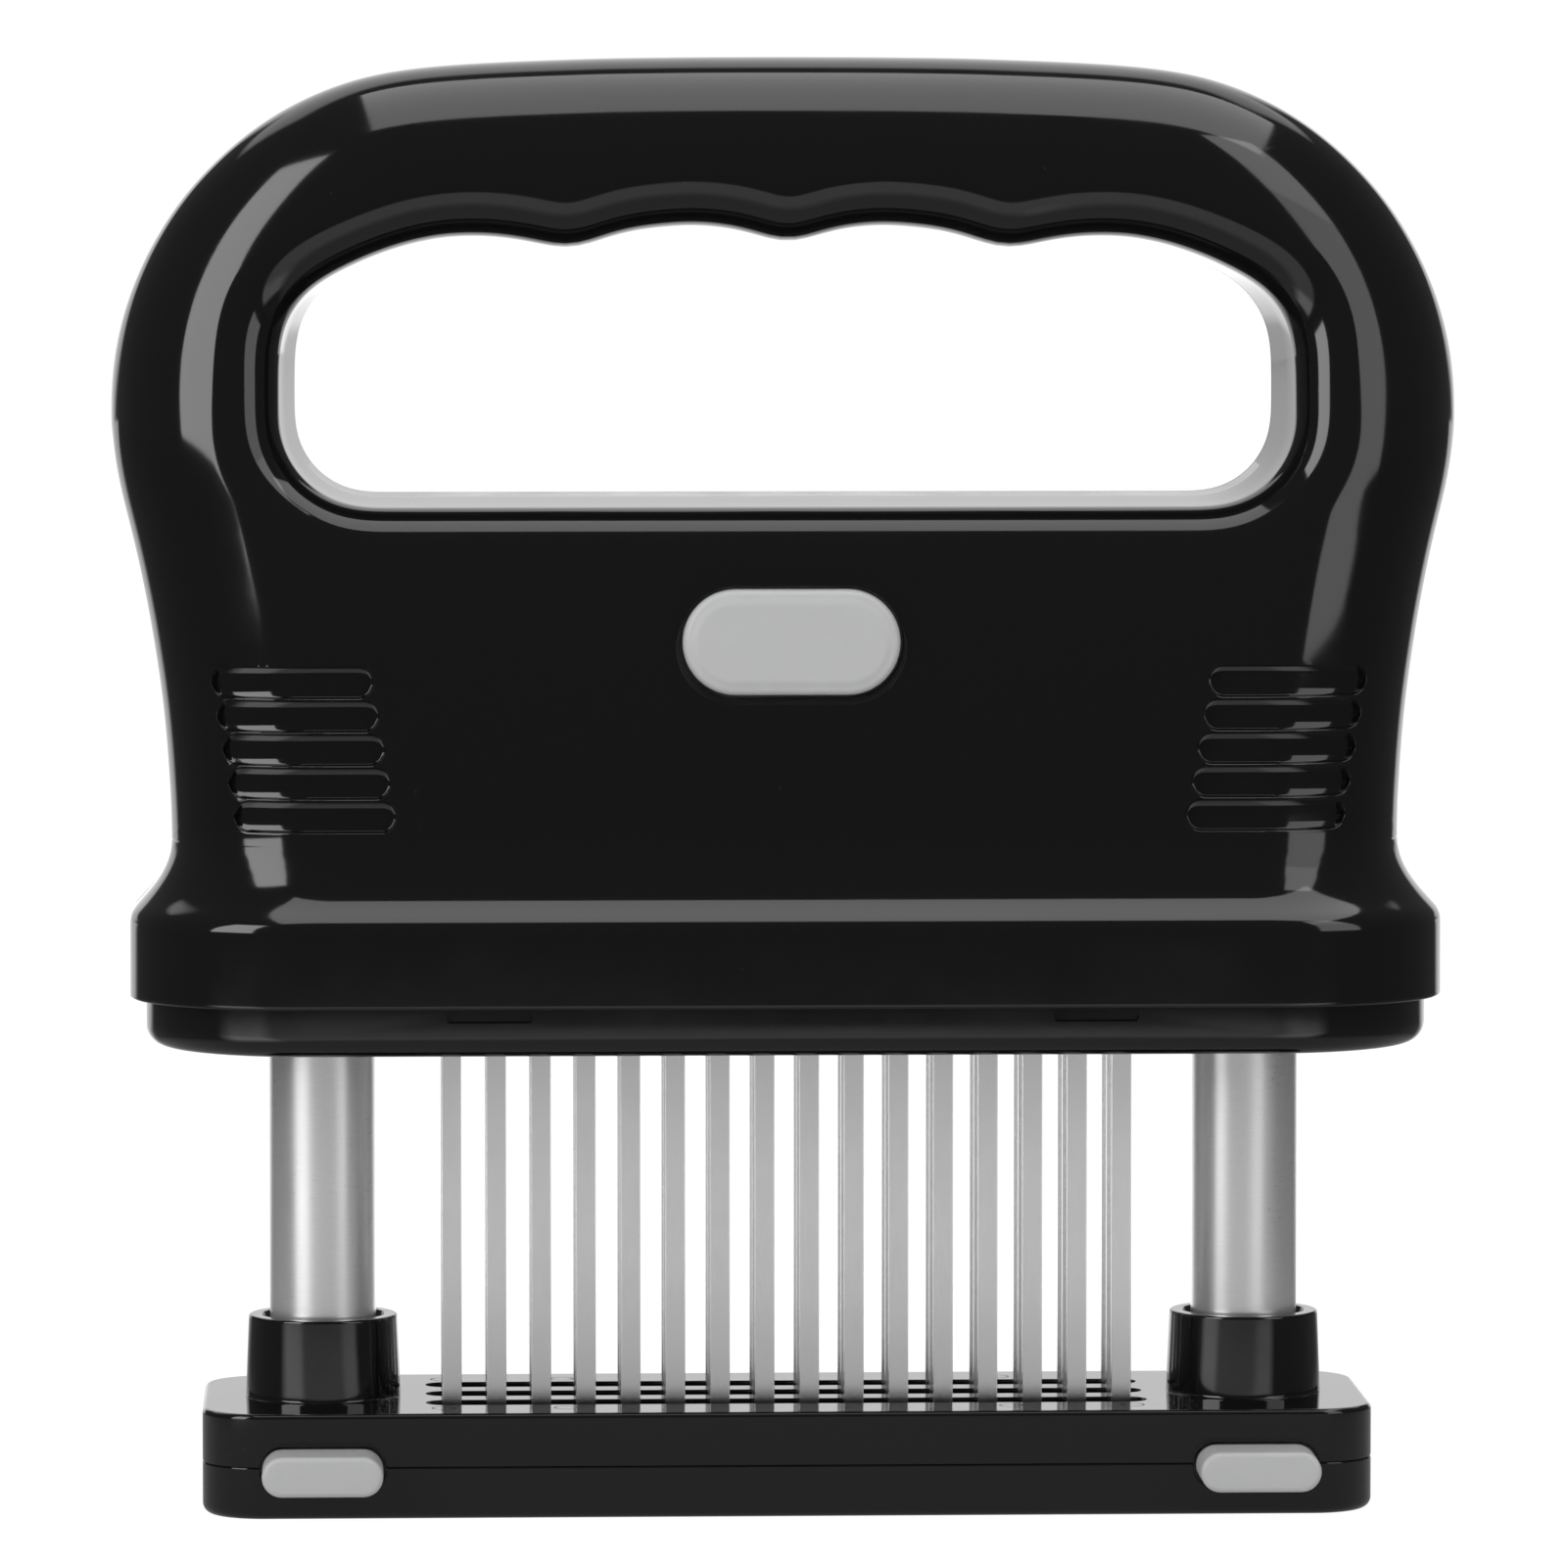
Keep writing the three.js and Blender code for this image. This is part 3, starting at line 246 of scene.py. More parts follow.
def grey_plastic(finish):
    mottle = finish.grain(0.4, detail=3.0)
    texture = finish.grain(9.0, detail=2.0)
    colour = finish.blend(mottle, shade([0.385, 0.386, 0.388]), shade([0.415, 0.416, 0.418]))
    return {
        "Base Color": colour, "Roughness": 0.34 + texture * 0.14, "IOR": 1.46,
        "Normal": finish.bump(texture, 0.15, 0.03)}


def inner_plastic(finish):
    mottle = finish.grain(0.3, detail=4.0)
    texture = finish.grain(6.0, detail=2.0)
    colour = finish.blend(mottle, shade([0.022, 0.022, 0.024]), shade([0.034, 0.034, 0.036]))
    return {
        "Base Color": colour, "Roughness": 0.42 + texture * 0.2,
        "Normal": finish.bump(texture, 0.25, 0.04)}


def bush_plastic(finish):
    mottle = finish.grain(0.5, detail=3.0)
    turning = finish.grain(1.0, stretch=(0.4, 0.4, 6.0), detail=2.0)
    colour = finish.blend(mottle, shade([0.6, 0.6, 0.56]), shade([0.66, 0.655, 0.62]))
    return {
        "Base Color": colour, "Roughness": 0.38 + turning * 0.15, "Subsurface Weight": 0.1,
        "Normal": finish.bump(turning, 0.2, 0.03)}


def rod_steel(finish):
    rings = finish.grain(1.0, stretch=(0.5, 0.5, 9.0), detail=4.0, roughness=0.7)
    grit = finish.grain(5.0, stretch=(1.0, 1.0, 1.6), detail=3.0, roughness=0.7)
    cloud = finish.grain(0.12, detail=2.0)
    tone = rings * 0.6 + grit * 0.4
    colour = finish.blend(tone, shade([0.7, 0.7, 0.705]), shade([0.95, 0.95, 0.95]))
    return {
        "Base Color": colour, "Metallic": 0.84, "Roughness": 0.22 + tone * 0.1 + cloud * 0.04,
        "Normal": finish.bump(rings, 0.12, 0.01)}


def blade_steel(finish):
    rolled = finish.grain(1.4, stretch=(4.0, 4.0, 0.35), detail=4.0, roughness=0.65)
    cloud = finish.grain(0.14, detail=3.0)
    tone = rolled * 0.6 + cloud * 0.4
    colour = finish.blend(tone, shade([0.8, 0.8, 0.805]), shade([0.98, 0.98, 0.98]))
    return {
        "Base Color": colour, "Metallic": 1.0, "Roughness": 0.16 + rolled * 0.12,
        "Normal": finish.bump(rolled, 0.1, 0.02)}


def spring_steel(finish):
    drawn = finish.grain(1.6, detail=4.0, roughness=0.6)
    stain = finish.grain(0.4, detail=3.0)
    colour = finish.blend(stain, shade([0.42, 0.42, 0.43]), shade([0.56, 0.55, 0.53]))
    return {
        "Base Color": colour, "Metallic": 1.0, "Roughness": 0.24 + drawn * 0.16,
        "Normal": finish.bump(drawn, 0.2, 0.02)}


def make_finishes():
    return {
        "black_gloss": material("gloss_black_plastic", gloss_black([0.0042, 0.0042, 0.0045])),
        "grey_button": material("light_grey_plastic", grey_plastic),
        "inner_plastic": material("dark_inner_plastic", inner_plastic),
        "bush_plastic": material("pale_bush_plastic", bush_plastic),
        "rod_steel": material("ground_rod_steel", rod_steel),
        "blade_steel": material("rolled_blade_steel", blade_steel),
        "spring_steel": material("wire_and_screw_steel", spring_steel),
    }


# Shapes

def edges_between(verts):
    chosen = set(verts)
    found = {edge for vert in chosen for edge in vert.link_edges}
    return [edge for edge in found if edge.verts[0] in chosen and edge.verts[1] in chosen]


def line_of(bm, points, closed=True):
    """Vertices at the points, numbered in order, joined in a line."""
    order = bm.verts.layers.int.get("order") or bm.verts.layers.int.new("order")
    verts = [bm.verts.new(point) for point in points]
    for number, vert in enumerate(verts):
        vert[order] = number
    ends = verts[1:] + verts[:1] if closed else verts[1:]
    return [bm.edges.new(pair) for pair in zip(verts, ends)]


def grown(bm, edges, points):
    """Extrudes a line of edges, and moves each new vertex to the point of its number."""
    order = bm.verts.layers.int["order"]
    made = bmesh.ops.extrude_edge_only(bm, edges=edges)["geom"]
    verts = [part for part in made if isinstance(part, bmesh.types.BMVert)]
    for vert in verts:
        vert.co = points[vert[order]]
    fresh = set(verts)
    return [part for part in made if isinstance(part, bmesh.types.BMEdge)
            and part.verts[0] in fresh and part.verts[1] in fresh]


def stacked(rings):
    """A closed solid through rings of points."""
    bm = bmesh.new()
    first = line_of(bm, rings[0])
    last = first
    for ring in rings[1:]:
        last = grown(bm, last, ring)
    bmesh.ops.contextual_create(bm, geom=first)
    bmesh.ops.contextual_create(bm, geom=last)
    bmesh.ops.recalc_face_normals(bm, faces=bm.faces)
    return bm


def spun(profile, x=0.0, y=0.0, steps=64):
    """A turned solid about an upright axis, from points of radius and height."""
    bm = bmesh.new()
    edges = line_of(bm, [(radius, 0, z) for radius, z in profile], closed=profile[0][0] > 0)
    geometry = list(bm.verts) + edges
    bmesh.ops.spin(bm, geom=geometry, cent=(0, 0, 0), axis=(0, 0, 1), angle=2 * math.pi, steps=steps,
                   use_merge=True)
    bmesh.ops.remove_doubles(bm, verts=bm.verts, dist=1e-4)
    bmesh.ops.recalc_face_normals(bm, faces=bm.faces)
    bmesh.ops.translate(bm, vec=(x, y, 0), verts=bm.verts)
    return bm


def turned(bm, angle, axis):
    """Turns a shape about an axis through the middle of the base, by its name."""
    bmesh.ops.rotate(bm, cent=(0, 0, 0), matrix=Matrix.Rotation(angle, 3, axis), verts=bm.verts)


def laid_back(bm, x, y, z):
    """An upright piece turned so that its top points to the front."""
    turned(bm, math.pi / 2, "X")
    bmesh.ops.translate(bm, vec=(x, y, z), verts=bm.verts)


def together(*pieces):
    """Several solids in one mesh."""
    whole = pieces[0]
    for piece in pieces[1:]:
        mesh = bpy.data.meshes.new("part")
        piece.to_mesh(mesh)
        piece.free()
        whole.from_mesh(mesh)
        bpy.data.meshes.remove(mesh)
    return whole


def shown(name, bm):
    mesh = bpy.data.meshes.new(name)
    bm.to_mesh(mesh)
    bm.free()
    piece = bpy.data.objects.new(name, mesh)
    bpy.context.scene.collection.objects.link(piece)
    return piece


def carved(bm, *cutters):
    """The solid with each cutter taken away in turn."""
    body = shown("body", bm)
    tools = [shown("cutter", cutter) for cutter in cutters]
    for tool in tools:
        cut = body.modifiers.new("cut", "BOOLEAN")
        cut.operation, cut.object, cut.solver = "DIFFERENCE", tool, "EXACT"
    bpy.context.view_layer.update()
    result = bmesh.new()
    result.from_object(body, bpy.context.evaluated_depsgraph_get())
    for piece in [body, *tools]:
        mesh = piece.data
        bpy.data.objects.remove(piece)
        bpy.data.meshes.remove(mesh)
    return result


def softened(bm, width, segments=2, above=30.0):
    """Bevels every edge that turns by more than an angle."""
    sharp = [edge for edge in bm.edges if edge.is_manifold and edge.calc_face_angle(0) > math.radians(above)]
    bmesh.ops.bevel(bm, geom=sharp, offset=width, offset_type="OFFSET", segments=segments, profile=0.5,
                    affect="EDGES", clamp_overlap=True, material=-1)
    return bm


def copied(node):
    """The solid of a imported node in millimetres, with its loose triangles merged."""
    bm = bmesh.new()
    bm.from_mesh(frame["nodes"][node].data)
    bmesh.ops.scale(bm, vec=(1 / MM,) * 3, verts=bm.verts)
    bmesh.ops.remove_doubles(bm, verts=bm.verts, dist=1e-3)
    bmesh.ops.dissolve_limit(bm, angle_limit=math.radians(1), verts=bm.verts, edges=bm.edges)
    return bm


def finished(name, bm, slot, body, node, sharp=32.0, even=False):
    """The shape, scaled to metres, becomes a piece with its slot's finish, under its body."""
    bmesh.ops.scale(bm, vec=(MM,) * 3, verts=bm.verts)
    for face in bm.faces:
        face.smooth = True
        face.material_index = 0
    for edge in bm.edges:
        edge.smooth = edge.is_manifold and edge.calc_face_angle(0) < math.radians(sharp)
    piece = shown(name, bm)
    piece.data.materials.clear()
    piece.data.materials.append(FINISHES[slot])
    if even:
        flat = piece.modifiers.new("even", "WEIGHTED_NORMAL")
        flat.keep_sharp, flat.weight = True, 80
    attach(piece, body)
    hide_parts(node)
    return piece


def rounded_ring(half, z, grow=0.0, steps=12, straight=(1, 1)):
    """A rounded rectangle's points at a height. Half is its half width, half depth and corner radius."""
    width, depth, radius = (size + grow for size in half)
    points = []
    for corner, (side_x, side_y) in enumerate([(1, -1), (1, 1), (-1, 1), (-1, -1)]):
        for step in range(steps + 1):
            angle = (corner - 1 + step / steps) * math.pi / 2
            points.append((side_x * (width - radius) + radius * math.cos(angle),
                           side_y * (depth - radius) + radius * math.sin(angle), z))
    return points


def stadium(width, height, grow=0.0, steps=16):
    """A rounded slot's points, across and up."""
    radius = height / 2 + grow
    reach = (width - height) / 2
    points = []
    for side in (1, -1):
        for step in range(steps + 1):
            angle = (step / steps - 0.5 + (0 if side > 0 else 1)) * math.pi
            points.append((side * reach + radius * math.cos(angle), radius * math.sin(angle)))
    return points


def round_over(radius, steps):
    """Steps of a quarter round: how far in, and how far back, from the face to the side."""
    turns = [step / steps * math.pi / 2 for step in range(steps + 1)]
    return [(radius * (1 - math.sin(turn)), radius * (1 - math.cos(turn))) for turn in turns]


def smoothed(values, spread):
    """Values taken at even steps, evened out over a number of steps."""
    reach = int(4 * spread)
    offsets = np.arange(-reach, reach + 1)
    weights = np.exp(-0.5 * (offsets / spread) ** 2)
    weights /= weights.sum()
    before = 2 * values[0] - values[reach:0:-1]
    after = 2 * values[-1] - values[-2:-reach - 2:-1]
    padded = np.concatenate([before, values, after])
    return np.convolve(padded, weights, mode="valid")


def even_steps(points, step=None, count=None):
    """A line's points at even steps along it."""
    points = np.asarray(points, float)
    lengths = np.concatenate([[0], np.cumsum(np.linalg.norm(np.diff(points, axis=0), axis=1))])
    count = count or int(lengths[-1] / step) + 1
    at = np.linspace(0, lengths[-1], count)
    return np.stack([np.interp(at, lengths, points[:, 0]), np.interp(at, lengths, points[:, 1])], axis=1)


# Handle

SIDE_LINE = [
    (69.07, 40), (69.07, 75.5), (69.1, 78), (69.25, 81.1), (69.4, 83.3), (69.55, 85.6), (69.72, 87.8),
    (69.95, 90), (70.2, 92.2), (70.5, 94.4), (70.88, 96.6), (71.2, 98.9), (71.6, 101), (72.05, 103.3),
    (72.5, 105.5), (73.0, 107.7), (73.5, 109.9), (74.1, 112.1), (74.7, 114.3), (75.15, 116.6), (75.5, 118.8),
    (75.74, 121), (75.78, 123.2), (75.72, 125.4), (75.6, 127.6), (75.3, 129.8), (74.9, 132), (74.3, 134.2),
    (73.6, 136.4), (72.7, 138.6), (71.7, 140.8), (70.45, 143), (69.1, 145.2), (67.5, 147.4), (65.6, 149.6),
    (63.4, 151.8), (60.9, 154), (57.8, 156.2), (54.7, 157.95), (51.8, 159.25), (48.3, 160.5), (45.2, 161.2),
    (41, 161.8), (36, 162.2), (30, 162.5), (20, 162.85), (10, 162.97), (0, 163.0),
]
DEPTHS = [
    (60, 22.0), (75.5, 22.0), (96.3, 21.4), (106.7, 20.12), (120.1, 18.25), (135.0, 15.62), (149.9, 14.5),
    (175, 14.5),
]
ROUNDS = [
    (60, 18.0), (75.5, 18.0), (112, 18.0), (123, 17.3), (135, 15.1), (150, 13.6), (160, 12.75), (175, 12.75),
]
UNDERSIDE = [
    (55.1, 127.5), (55.05, 130.0), (54.75, 132.2), (54.0, 134.3), (52.5, 136.5), (50.5, 138.2),
    (48.4, 139.4), (46.2, 140.45), (43.9, 141.35), (41.4, 142.15), (37.9, 142.85), (34.2, 142.95),
    (31.4, 142.7), (28.7, 142.2), (26.5, 141.7), (24.5, 141.55), (22.5, 141.8), (20, 142.6),
    (17.8, 143.3), (15.5, 143.75), (11, 144.15), (8.5, 144.0), (6.7, 143.75), (4.5, 143.2),
    (2.3, 142.5), (0, 142.2),
]
OGEE = [
    (40.0, 0.0), (66.3, 0.0), (67.0, 0.06), (67.6, 0.4), (68.3, 1.02), (69.2, 1.85), (70.2, 2.68),
    (71.2, 3.38), (72.2, 3.92), (73.2, 4.3), (74.3, 4.55), (75.5, 4.65), (90.0, 4.65),
]
FRONT_OGEE = [
    (40.0, 0.0), (66.3, 0.0), (67.0, 0.06), (67.6, 0.42), (68.3, 1.12), (69.0, 1.85), (69.7, 2.42),
    (70.5, 2.92), (71.5, 3.45), (73.0, 4.1), (74.5, 4.6), (76.5, 4.92), (79.0, 5.0), (90.0, 5.0),
]
OPENING_FLOOR = 114.1
OPENING_CORNER = 8.5
OPENING_HALF = 55.1
SIDE_DRAFT = 1.6
FLOOR_DRAFT = 1.15
CEILING_DRAFT = 0.05
OPENING_ROUND = 5.7
SHELL_SCREW_SEAT = 8.0
RIM_BELOW = 1.2
RIM_ABOVE = 2.0
SHELL_SCREWS = [
    ("body_left", -34.525, 98.15), ("body_right", 34.525, 98.15), ("leg_left", -66.3, 123.2),
    ("leg_right", 66.3, 123.2), ("bar_left", -32.0, 153.05), ("bar_right", 32.0, 153.05),
]


def smooth_curve(table, spread):
    heights = np.arange(table[0][0], table[-1][0], 0.25)
    values = smoothed(np.interp(heights, *zip(*table)), spread / 0.25)
    return lambda z: np.interp(z, heights, values)


body_depth_at = smooth_curve(DEPTHS, 4.0)
side_ogee_at = smooth_curve(OGEE, 0.35)
front_ogee_at = smooth_curve(FRONT_OGEE, 0.35)
round_at = smooth_curve(ROUNDS, 5.0)


def depth_at(z):
    return body_depth_at(z) + FRONT_OGEE[-1][1] - front_ogee_at(z)


WAIST_HALF = (69.075, float(depth_at(WAIST)), 18.0)


def side_line():
    """The handle's outer line, from under its left side over the crown to under its right side."""
    right = even_steps(SIDE_LINE, step=0.25)
    line = np.vstack([right[:-1] * (-1, 1), right[::-1]])
    return even_steps(np.stack([smoothed(line[:, 0], 9), smoothed(line[:, 1], 9)], axis=1), step=0.5)


SIDE = side_line()


def nearest(points):
    """How far points are from the outer line, and the directions to it."""
    starts, spans = SIDE[:-1], np.diff(SIDE, axis=0)
    away = points[:, None] - starts
    share = np.clip((away * spans).sum(2) / (spans * spans).sum(1), 0, 1)
    gaps = share[:, :, None] * spans - away
    lengths = np.linalg.norm(gaps, axis=2)
    best = lengths.argmin(1)
    rows = np.arange(len(points))
    return lengths[rows, best], gaps[rows, best] / np.maximum(lengths[rows, best], 1e-6)[:, None]


def face_depth(points, deep=0.0):
    """How far in front of the seam the rounded face lies at points across and up."""
    inset, _ = nearest(points)
    bend = round_at(points[:, 1])
    over = np.clip(bend - inset, 0, bend - deep)
    return depth_at(points[:, 1]) - bend + np.sqrt((bend - deep) ** 2 - over ** 2)


def opening_line():
    """The hand opening at the seam, clockwise from the middle of its floor, and its outward directions."""
    reach = OPENING_HALF - OPENING_CORNER
    radius = OPENING_CORNER
    corner = [(-reach - radius * math.sin(turn), OPENING_FLOOR + radius * (1 - math.cos(turn)))
              for turn in np.linspace(0, math.pi / 2, 20)]
    left = [(0, OPENING_FLOOR), *corner, *[(-x, z) for x, z in UNDERSIDE]]
    right = [(-x, z) for x, z in left[::-1]]
    line = even_steps(np.vstack([left, right[1:]]), step=0.2)
    line = np.stack([smoothed(line[:, 0], 7), smoothed(line[:, 1], 7)], axis=1)
    tangent = np.gradient(line, axis=0)
    tangent /= np.linalg.norm(tangent, axis=1)[:, None]
    return line, np.stack([-tangent[:, 1], tangent[:, 0]], axis=1)


def matching_numbers(outer, inner):
    """For each outer point, the number along the inner line that it looks at from the opening's middle."""
    numbers = []
    for x, z in outer:
        middle = np.array([min(max(x, -38.0), 38.0), OPENING_MIDDLE])
        direction = np.array([x, z]) - middle
        away = inner - middle
        cross = direction[0] * away[:, 1] - direction[1] * away[:, 0]
        ahead = away @ direction > 0
        hits = np.nonzero((cross[:-1] * cross[1:] <= 0) & ahead[:-1])[0]
        hit = hits[0] if len(hits) else 0
        span = cross[hit] - cross[hit + 1]
        numbers.append(hit + (cross[hit] / span if span else 0))
    return np.array(numbers)


def shell_skin(side, deep=0.0, arc_count=420, corner_count=16, floor_count=90, rows=40):
    """One face of the handle, from the seam round to the hand opening, or the skin at a depth inside it."""
    seam = even_steps(np.vstack([[SIDE[0] * (1, 0) + (0, WAIST)], SIDE[SIDE[:, 1] > WAIST + 0.05],
                                 [SIDE[-1] * (1, 0) + (0, WAIST)]]), count=arc_count)
    tangent = np.gradient(seam, axis=0)
    tangent /= np.linalg.norm(tangent, axis=1)[:, None]
    inward = np.stack([tangent[:, 1], -tangent[:, 0]], axis=1)
    level = np.clip((seam[:, 1] - WAIST) / 8, 0, 1)
    inward[:, 1] *= level * level * (3 - 2 * level)
    inward /= np.linalg.norm(inward, axis=1)[:, None]

    def placed(flat, depths):
        return [(x, side * y, z) for (x, z), y in zip(flat, depths)]

    # Up the side, from the fine line at the seam to where the round begins
    straight = depth_at(seam[:, 1]) - round_at(seam[:, 1])
    bm = bmesh.new()
    edges = None
    for inset, back, share in ((0.22, 0.01, 0), (0.06, 0.08, 0), (0, 0.25, 0), (0, 0.25, 0.5), (0, 0.25, 1)):
        points = placed(seam + inward * max(inset, deep), back + (straight - back) * share)
        edges = grown(bm, edges, points) if edges else line_of(bm, points, closed=False)

    # The ring of the waist closes the line round the opening
    width, depth, bend = WAIST_HALF
    turns = np.linspace(0, math.pi / 2, corner_count + 1)[1:]
    corner = [(width - bend + (bend - deep) * math.cos(turn), depth - bend + (bend - deep) * math.sin(turn))
              for turn in turns]
    reach = width - bend
    ring = corner + [(x, depth - deep) for x in np.linspace(reach, -reach, floor_count + 1)[1:-1]]
    ring += [(-x, y) for x, y in corner[::-1]]
    order = bm.verts.layers.int["order"]
    arc_verts = {vert[order]: vert for edge in edges for vert in edge.verts}
    floor = [bm.verts.new((x, side * y, WAIST)) for x, y in ring]
    for number, vert in enumerate(floor):
        vert[order] = arc_count + number
    chain = [arc_verts[arc_count - 1], *floor, arc_verts[0]]
    edges += [bm.edges.new(pair) for pair in zip(chain[:-1], chain[1:])]
    outer = np.vstack([seam + inward * deep, [(x, WAIST) for x, _ in ring]])

    # A ball between the face and the tunnel rounds the opening's edge
    line, outward = opening_line()
    draft = SIDE_DRAFT * outward[:, 0] ** 2
    draft += np.where(outward[:, 1] < 0, FLOOR_DRAFT, CEILING_DRAFT) * outward[:, 1] ** 2
    middle = line + outward * (draft + OPENING_ROUND)[:, None]
    inset, toward = nearest(middle)
    bends = round_at(middle[:, 1])
    lean = np.clip((bends - inset) / (bends - OPENING_ROUND), 0, 1)
    height = depth_at(middle[:, 1]) - bends + (bends - OPENING_ROUND) * np.sqrt(1 - lean ** 2)
    ball = OPENING_ROUND - deep
    contact = middle + toward * (lean * ball)[:, None]
    numbers = matching_numbers(outer, contact)
    at = np.arange(len(line))
    table = np.column_stack([line, outward, middle, toward, lean, height, contact])
    table = np.column_stack([np.interp(numbers, at, column) for column in table.T])
    line, outward, middle, toward = table[:, 0:2], table[:, 2:4], table[:, 4:6], table[:, 6:8]
    lean, height, contact = table[:, 8], table[:, 9], table[:, 10:12]

    for row in range(1, rows + 1):
        flat = outer + (contact - outer) * (row / rows) ** 1.8
        edges = grown(bm, edges, placed(flat, face_depth(flat, deep)))
    first = np.column_stack([toward * lean[:, None], np.sqrt(1 - lean ** 2)])
    last = np.column_stack([-outward, np.zeros(len(outward))])
    angle = np.arccos(np.clip((first * last).sum(1), -1, 1))[:, None]
    for step in range(1, 15):
        share = step / 14
        away = (np.sin((1 - share) * angle) * first + np.sin(share * angle) * last) / np.sin(angle)
        edges = grown(bm, edges, placed(middle + ball * away[:, :2], height + ball * away[:, 2]))
    wall = middle - ball * outward
    foot = line + outward * deep
    for share in (0.66, 0.33, 0.02):
        edges = grown(bm, edges, placed(foot + (wall - foot) * share, np.maximum(height * share, 0.25)))
    edges = grown(bm, edges, placed(foot + outward * (0 if deep else 0.2), np.full(len(foot), 0.01)))

    # Down over the ogee and the collar
    bottom = [vert for vert in bm.verts if abs(vert.co.z - WAIST) < 1e-4]
    start = [(vert.co.x, abs(vert.co.y)) for vert in bottom]
    for number, vert in enumerate(bottom):
        vert[order] = number
    edges = [edge for edge in edges_between(bottom) if len(edge.link_faces) == 1]
    for half, z in collar_rings(deep):
        edges = grown(bm, edges, [waist_point(x, y, half, z, side, deep) for x, y in start])
    return bm


def waist_point(x, y, half, z, side, deep):
    """Where a point of the waist's ring goes on a ring of another size."""
    width, depth, bend = half
    width0, depth0, bend0 = (size - deep for size in WAIST_HALF)
    sign = 1 if x > 0 else -1
    over_x, over_y = abs(x) - (width0 - bend0), y - (depth0 - bend0)
    if over_x <= 0:
        return (x * (width - bend) / (width0 - bend0), side * depth, z)
    if over_y <= 0:
        shrink = max(0.0, width0 - abs(x))
        return (sign * (width - shrink), side * y * (depth - bend) / (depth0 - bend0), z)
    turn = math.atan2(over_y, over_x)
    return (sign * (width - bend + bend * math.cos(turn)), side * (depth - bend + bend * math.sin(turn)), z)


def collar_rings(deep):
    """Rings from just under the waist down to the collar's lower edge."""
    places = [(z, 0.0) for z in (*np.arange(75.2, 65.4, -0.3), 63.5, 61.5, 59.8, 58.6, 58.3)]
    for step in range(7):
        turn = step / 6 * math.pi / 2
        fillet = 0 if deep else COLLAR_FILLET * (1 - math.cos(turn))
        places.append((COVER_TOP + 0.02 + COLLAR_FILLET * (1 - math.sin(turn)), fillet))
    rings = []
    for z, fillet in places:
        inset = side_ogee_at(z)
        bend = COLLAR_HALF[2] - (COLLAR_HALF[2] - WAIST_HALF[2]) * inset / OGEE[-1][1]
        half = [COLLAR_HALF[0] - inset, depth_at(z), bend]
        rings.append(([size - fillet - deep for size in half], z))
    return rings


def shell_body():
    """The closed front shell: its outer and inner skins, joined along the seam and the collar's edge."""
    outer, inner = shell_skin(-1), shell_skin(-1, WALL)
    order = outer.verts.layers.int["order"]
    for number, vert in enumerate(outer.verts):
        vert[order] = number
    grown(outer, [edge for edge in outer.edges if edge.is_boundary], [vert.co.copy() for vert in inner.verts])
    bm = together(outer, inner)
    bmesh.ops.remove_doubles(bm, verts=bm.verts, dist=1e-3)
    bmesh.ops.recalc_face_normals(bm, faces=bm.faces)
    return bm


def width_at(z):
    """The handle's half width at a height of its sides."""
    right = SIDE[SIDE[:, 0] > 40][::-1]
    return np.interp(z, right[:, 1], right[:, 0])


def vent_cutter(middle_x, middle_z):
    """A blind slot that follows the curved front, with a rounded rim."""
    radius, reach = VENT_SIZE[1] / 2, (VENT_SIZE[0] - VENT_SIZE[1]) / 2

    def skin(x, z):
        corner = round_at(z)
        over = min(max(corner - width_at(z) + abs(x), 0), corner)
        return corner - depth_at(z) - math.sqrt(corner ** 2 - over ** 2)

    bm = bmesh.new()
    bmesh.ops.create_grid(bm, x_segments=44, y_segments=5, size=1)
    order = bm.verts.layers.int.new("order")
    ends = [(vert, vert.co.x, vert.co.y) for vert in bm.verts]
    places = []
    for number, (vert, across, up) in enumerate(ends):
        turn = across * math.radians(78)
        x = across * reach + radius * math.sin(turn)
        past = max(0.0, abs(x) - reach)
        z = up * math.sqrt(max(0.0, radius ** 2 - past ** 2))
        centre = min(max(x, -reach), reach)
        away = Vector((x - centre, z))
        away = away.normalized() if away.length > 1e-6 else Vector((0, 1))
        places.append((x, z, away))
        vert[order] = number

    def ring(grow, back):
        points = []
        for x, z, away in places:
            px, pz = middle_x + x + away.x * grow, middle_z + z + away.y * grow
            points.append((px, back if back < -30 else skin(px, pz) + back, pz))
        return points

    floor = ring(-0.18, 1.0)
    for vert in bm.verts:
        vert.co = floor[vert[order]]
    edges = [edge for edge in bm.edges if edge.is_boundary]
    rim = [(0.015, 0.26), (0.06, 0.13), (0.12, 0.05), (0.2, -0.02)]
    for grow, back in [(-0.05, 0.93), (0, 0.8), (0, 0.4), *rim, (0.2, -0.5), (0.2, -45)]:
        edges = grown(bm, edges, ring(grow, back))
    bmesh.ops.contextual_create(bm, geom=edges)
    bmesh.ops.recalc_face_normals(bm, faces=bm.faces)
    return bm


def hole_cutter(outline, rings, x=0.0, z=0.0):
    """A cutter from front to back. Outline gives its points for a growth, and rings give growth and y."""
    return stacked([[(x + across, y, z + up) for across, up in outline(grow)] for grow, y in rings])


